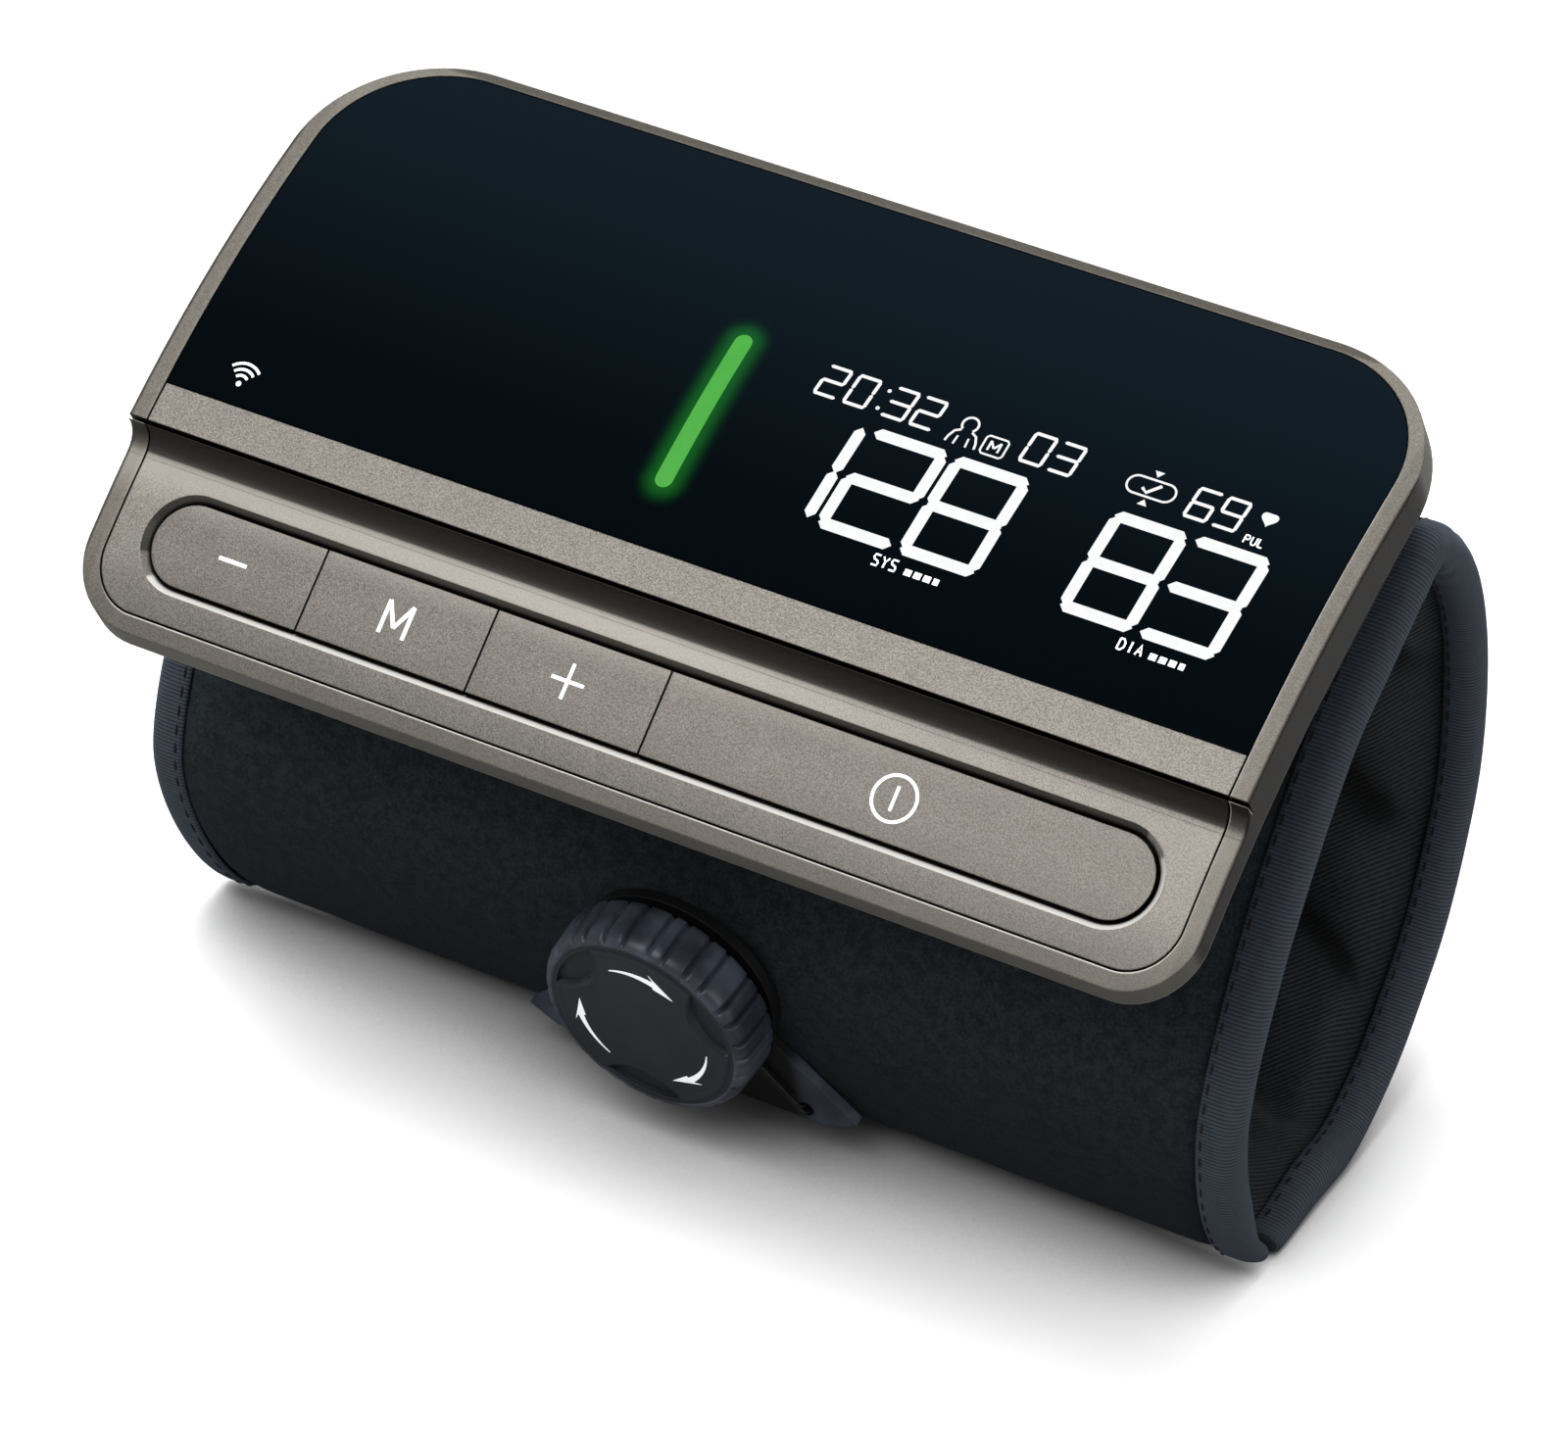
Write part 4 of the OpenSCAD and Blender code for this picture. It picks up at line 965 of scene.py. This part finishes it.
def badge():
    """The dial's face: a smooth three-lobed plate with a raised outline over lower hollows."""
    spokes, circles = 240, 34
    points, faces = [on_dial(0, 0, FACE + DOME)], []
    for i in range(1, circles + 1):
        r = FACE_R * i / circles
        for j in range(spokes):
            a = 2 * math.pi * j / spokes
            raised = lobe(a, r)
            outline = lobe(a, r) * (1 - lobe(a, r + 0.75))
            crown = DOME * (1 - (r / FACE_R) ** 2)
            z = FACE - 0.85 + 0.85 * raised + 0.22 * outline + crown * raised
            points.append(on_dial(r * math.cos(a), r * math.sin(a), z))
    low = len(points)
    for j in range(spokes):
        a = 2 * math.pi * j / spokes
        points.append(on_dial(FACE_R * math.cos(a), FACE_R * math.sin(a), FACE - 1.6))
    faces += [(0, 1 + j, 1 + (j + 1) % spokes) for j in range(spokes)]
    for i in range(circles):
        a, b = 1 + i * spokes, 1 + (i + 1) * spokes
        faces += [(a + j, a + (j + 1) % spokes, b + (j + 1) % spokes, b + j) for j in range(spokes)]
    faces.append(tuple(range(low, low + spokes)))
    made = outward(piece("dial_face", points, faces, badge_plastic))
    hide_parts("dial_badge")
    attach(made, "winding_dial")


def arrow(centre):
    """A tapered clockwise arrow on the dial's face, as an outline."""
    sweep = np.linspace(centre + 29, centre - 12, 16)
    line = [8.9 * ray(a) for a in sweep]
    shaft = band(line, np.linspace(0.06, 0.42, 16))
    tip = centre - 31
    head = [tuple(r * ray(a)) for a, r in
            ((centre - 6, 10.1), (centre - 12, 9.2), (centre - 12, 8.2), (tip, 8.6))]
    return [shaft, head]


def face_mark(x, y, z):
    """A place on the dial's domed face, z above it."""
    return on_dial(x, y, FACE + DOME * (1 - (math.hypot(x, y) / FACE_R) ** 2) + z)


grip()
badge()
arrows = [shape for centre in (84, 204, 324) for shape in arrow(centre)]
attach(slab("dial_arrows", arrows, face_mark, -0.1, 0.035, white_print_painted_glow), "winding_dial")
# Small black slabs in the face's hollows are painted shade for the notches.
notch_shades = []
for hollow in HOLLOWS:
    for swing in (-9, 9):
        a = math.radians(hollow + swing)
        across = np.array([-math.sin(a), math.cos(a)])
        out = np.array([math.cos(a), math.sin(a)])
        corners = [(-0.55, -0.5), (0.55, -0.5), (0.55, 0.5), (-0.55, 0.5)]
        notch_shades.append([tuple(11.2 * out + p * out + q * across) for p, q in corners])
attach(slab("dial_notch_shades", notch_shades, on_dial, FACE - 0.9, FACE - 0.70, black_rubber),
        "winding_dial")


# ---------------------------------------------------------------- lace
def cord(name, path, r):
    """A round cord along a path of points."""
    line = [np.array(p, float) for p in path]
    rings = []
    for i, p in enumerate(line):
        ahead = line[min(i + 1, len(line) - 1)] - line[max(i - 1, 0)]
        ahead /= np.linalg.norm(ahead)
        side = np.cross(ahead, (1.0, 0.3, 0.2))
        side /= np.linalg.norm(side)
        up = np.cross(ahead, side)
        rings.append([p + r * (math.cos(a) * side + math.sin(a) * up)
                      for a in np.linspace(0, 2 * math.pi, 11)[:-1]])
    return tube(name, rings, lace_cord)


def rounded(corners, pitch=0.5, passes=3):
    """Points along a chain of corners with the corners eased."""
    path = []
    for a, b in zip(corners[:-1], corners[1:]):
        a, b = np.array(a, float), np.array(b, float)
        count = max(2, int(np.linalg.norm(b - a) / pitch))
        path += [a + (b - a) * t / count for t in range(count)]
    path.append(np.array(corners[-1], float))
    for _ in range(passes):
        path = [path[0]] + [(path[i - 1] + path[i] * 2 + path[i + 1]) / 4
                            for i in range(1, len(path) - 1)] + [path[-1]]
    return path


# On each side two strands run off the spool, over the tab's end and across the slit.
cords = []
for side in (-1, 1):
    for shift in (-0.42, 0.42):
        corners = [on_dial(side * 6, -5.2 + shift, 2.1),
                   on_dial(side * (16 - shift * 0.6), -15.5 + shift, 2.0),
                   on_dial(side * (16 - shift * 0.6), -15.5 + shift, -0.4)]
        for u in (5.36, 5.17, 4.84):
            corners.append((side * (18.5 + shift * 0.8), *section(length_at(u), 2.2)))
        cords.append(cord("lace_cords", rounded(corners), 0.3))
cords = joined("lace_cords", cords)
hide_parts("lace")
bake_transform(cords)

# ---------------------------------------------------------------- stage, light and camera
# The floor is white to the camera, grey in reflections, and has a painted contact shadow close to
# the cuff.
floor_look = Look("floor", 0.9, specular=0.1)
pale = floor_look.mix(floor_look.noise(3, 2), linear("fdfdfd"), linear("f8f8f8"))
to_camera = floor_look.node("ShaderNodeLightPath", "Is Camera Ray", {})
near = floor_look.node("ShaderNodeAmbientOcclusion", "AO", {"Distance": 60 * MM}, samples=16)
near = floor_look.spread(near, 0.2, 0.76)
pale = floor_look.mix(near, linear("868686"), pale)
floor_look.colour(floor_look.mix(to_camera, linear("8c8c8c"), pale))
# A painted glow lifts the floor away from the cuff, keeping the painted shadow close.
floor_look.feed(floor_look.shader.inputs["Emission Color"], (1, 1, 1, 1))
floor_look.feed(floor_look.shader.inputs["Emission Strength"],
                floor_look.math("MULTIPLY", floor_look.math("MULTIPLY", near, to_camera), 0.25))
FAR = 4000
floor = piece("floor", [(-FAR, -FAR, 0), (FAR, -FAR, 0), (FAR, FAR, 0), (-FAR, FAR, 0)],
              [(0, 1, 2, 3)], floor_look.material)

world = bpy.data.worlds.new("studio")
world.use_nodes = True
sky = world.node_tree.nodes
join = world.node_tree.links.new


def sky_node(kind, inputs, output=0, **settings):
    made = sky.new(kind)
    for key, value in settings.items():
        setattr(made, key, value)
    for key, value in inputs.items():
        if isinstance(value, bpy.types.NodeSocket):
            join(value, made.inputs[key])
        else:
            made.inputs[key].default_value = value
    return made.outputs[output]


# The room is brightest behind and to the left; mirror-like surfaces see a darker room.
heading = sky_node("ShaderNodeTexCoord", {}, "Generated")
toward = sky_node("ShaderNodeVectorMath", {0: heading, 1: (-0.38, 0.3, 0.875)}, "Value",
                  operation="DOT_PRODUCT")
glow = sky_node("ShaderNodeMapRange", {"Value": toward, "From Min": -0.2, "From Max": 1.0,
                                       "To Min": 0.05, "To Max": 0.9})
rays = sky.new("ShaderNodeLightPath").outputs
dimmed = sky_node("ShaderNodeMath", {0: glow, 1: sky_node(
    "ShaderNodeMapRange", {"Value": rays["Is Glossy Ray"], "To Min": 1.0, "To Max": 0.4})},
    operation="MULTIPLY")
seen = sky_node("ShaderNodeMath", {0: dimmed, 1: rays["Is Camera Ray"]}, operation="MAXIMUM")
join(seen, sky["Background"].inputs["Strength"])
sky["Background"].inputs["Color"].default_value = (1, 1, 1, 1)
bpy.context.scene.world = world


def area_light(name, place, target, size, power, mirrored):
    data = bpy.data.lights.new(name, "AREA")
    data.shape, data.size, data.energy = "DISK", size, power
    made = bpy.data.objects.new(name, data)
    made.location = place
    made.rotation_euler = (Vector(target) - Vector(place)).to_track_quat("-Z", "Y").to_euler()
    made.visible_glossy = mirrored
    bpy.context.scene.collection.objects.link(made)


area_light("key", (-0.25, 0.22, 1.45), (0, 0, 0.05), 1.0, 20, False)
area_light("right_fill", (1.1, -0.25, 0.45), (0, 0, 0.05), 0.7, 2.5, True)
area_light("front_fill", (-0.1, -0.85, 1.25), (0, 0, 0.05), 1.0, 8, True)

camera = bpy.data.objects.new("camera", bpy.data.cameras.new("camera"))
camera.data.lens = 167.85
camera.data.sensor_width = 36
camera.data.clip_start, camera.data.clip_end = 0.05, 30
camera.location = (0.36325, -0.60243, 0.55589)
camera.rotation_euler = Vector((-0.4168, 0.6928, -0.5885)).to_track_quat("-Z", "Y").to_euler()
bpy.context.scene.collection.objects.link(camera)
bpy.context.scene.camera = camera
bpy.context.scene.view_settings.view_transform = "Standard"
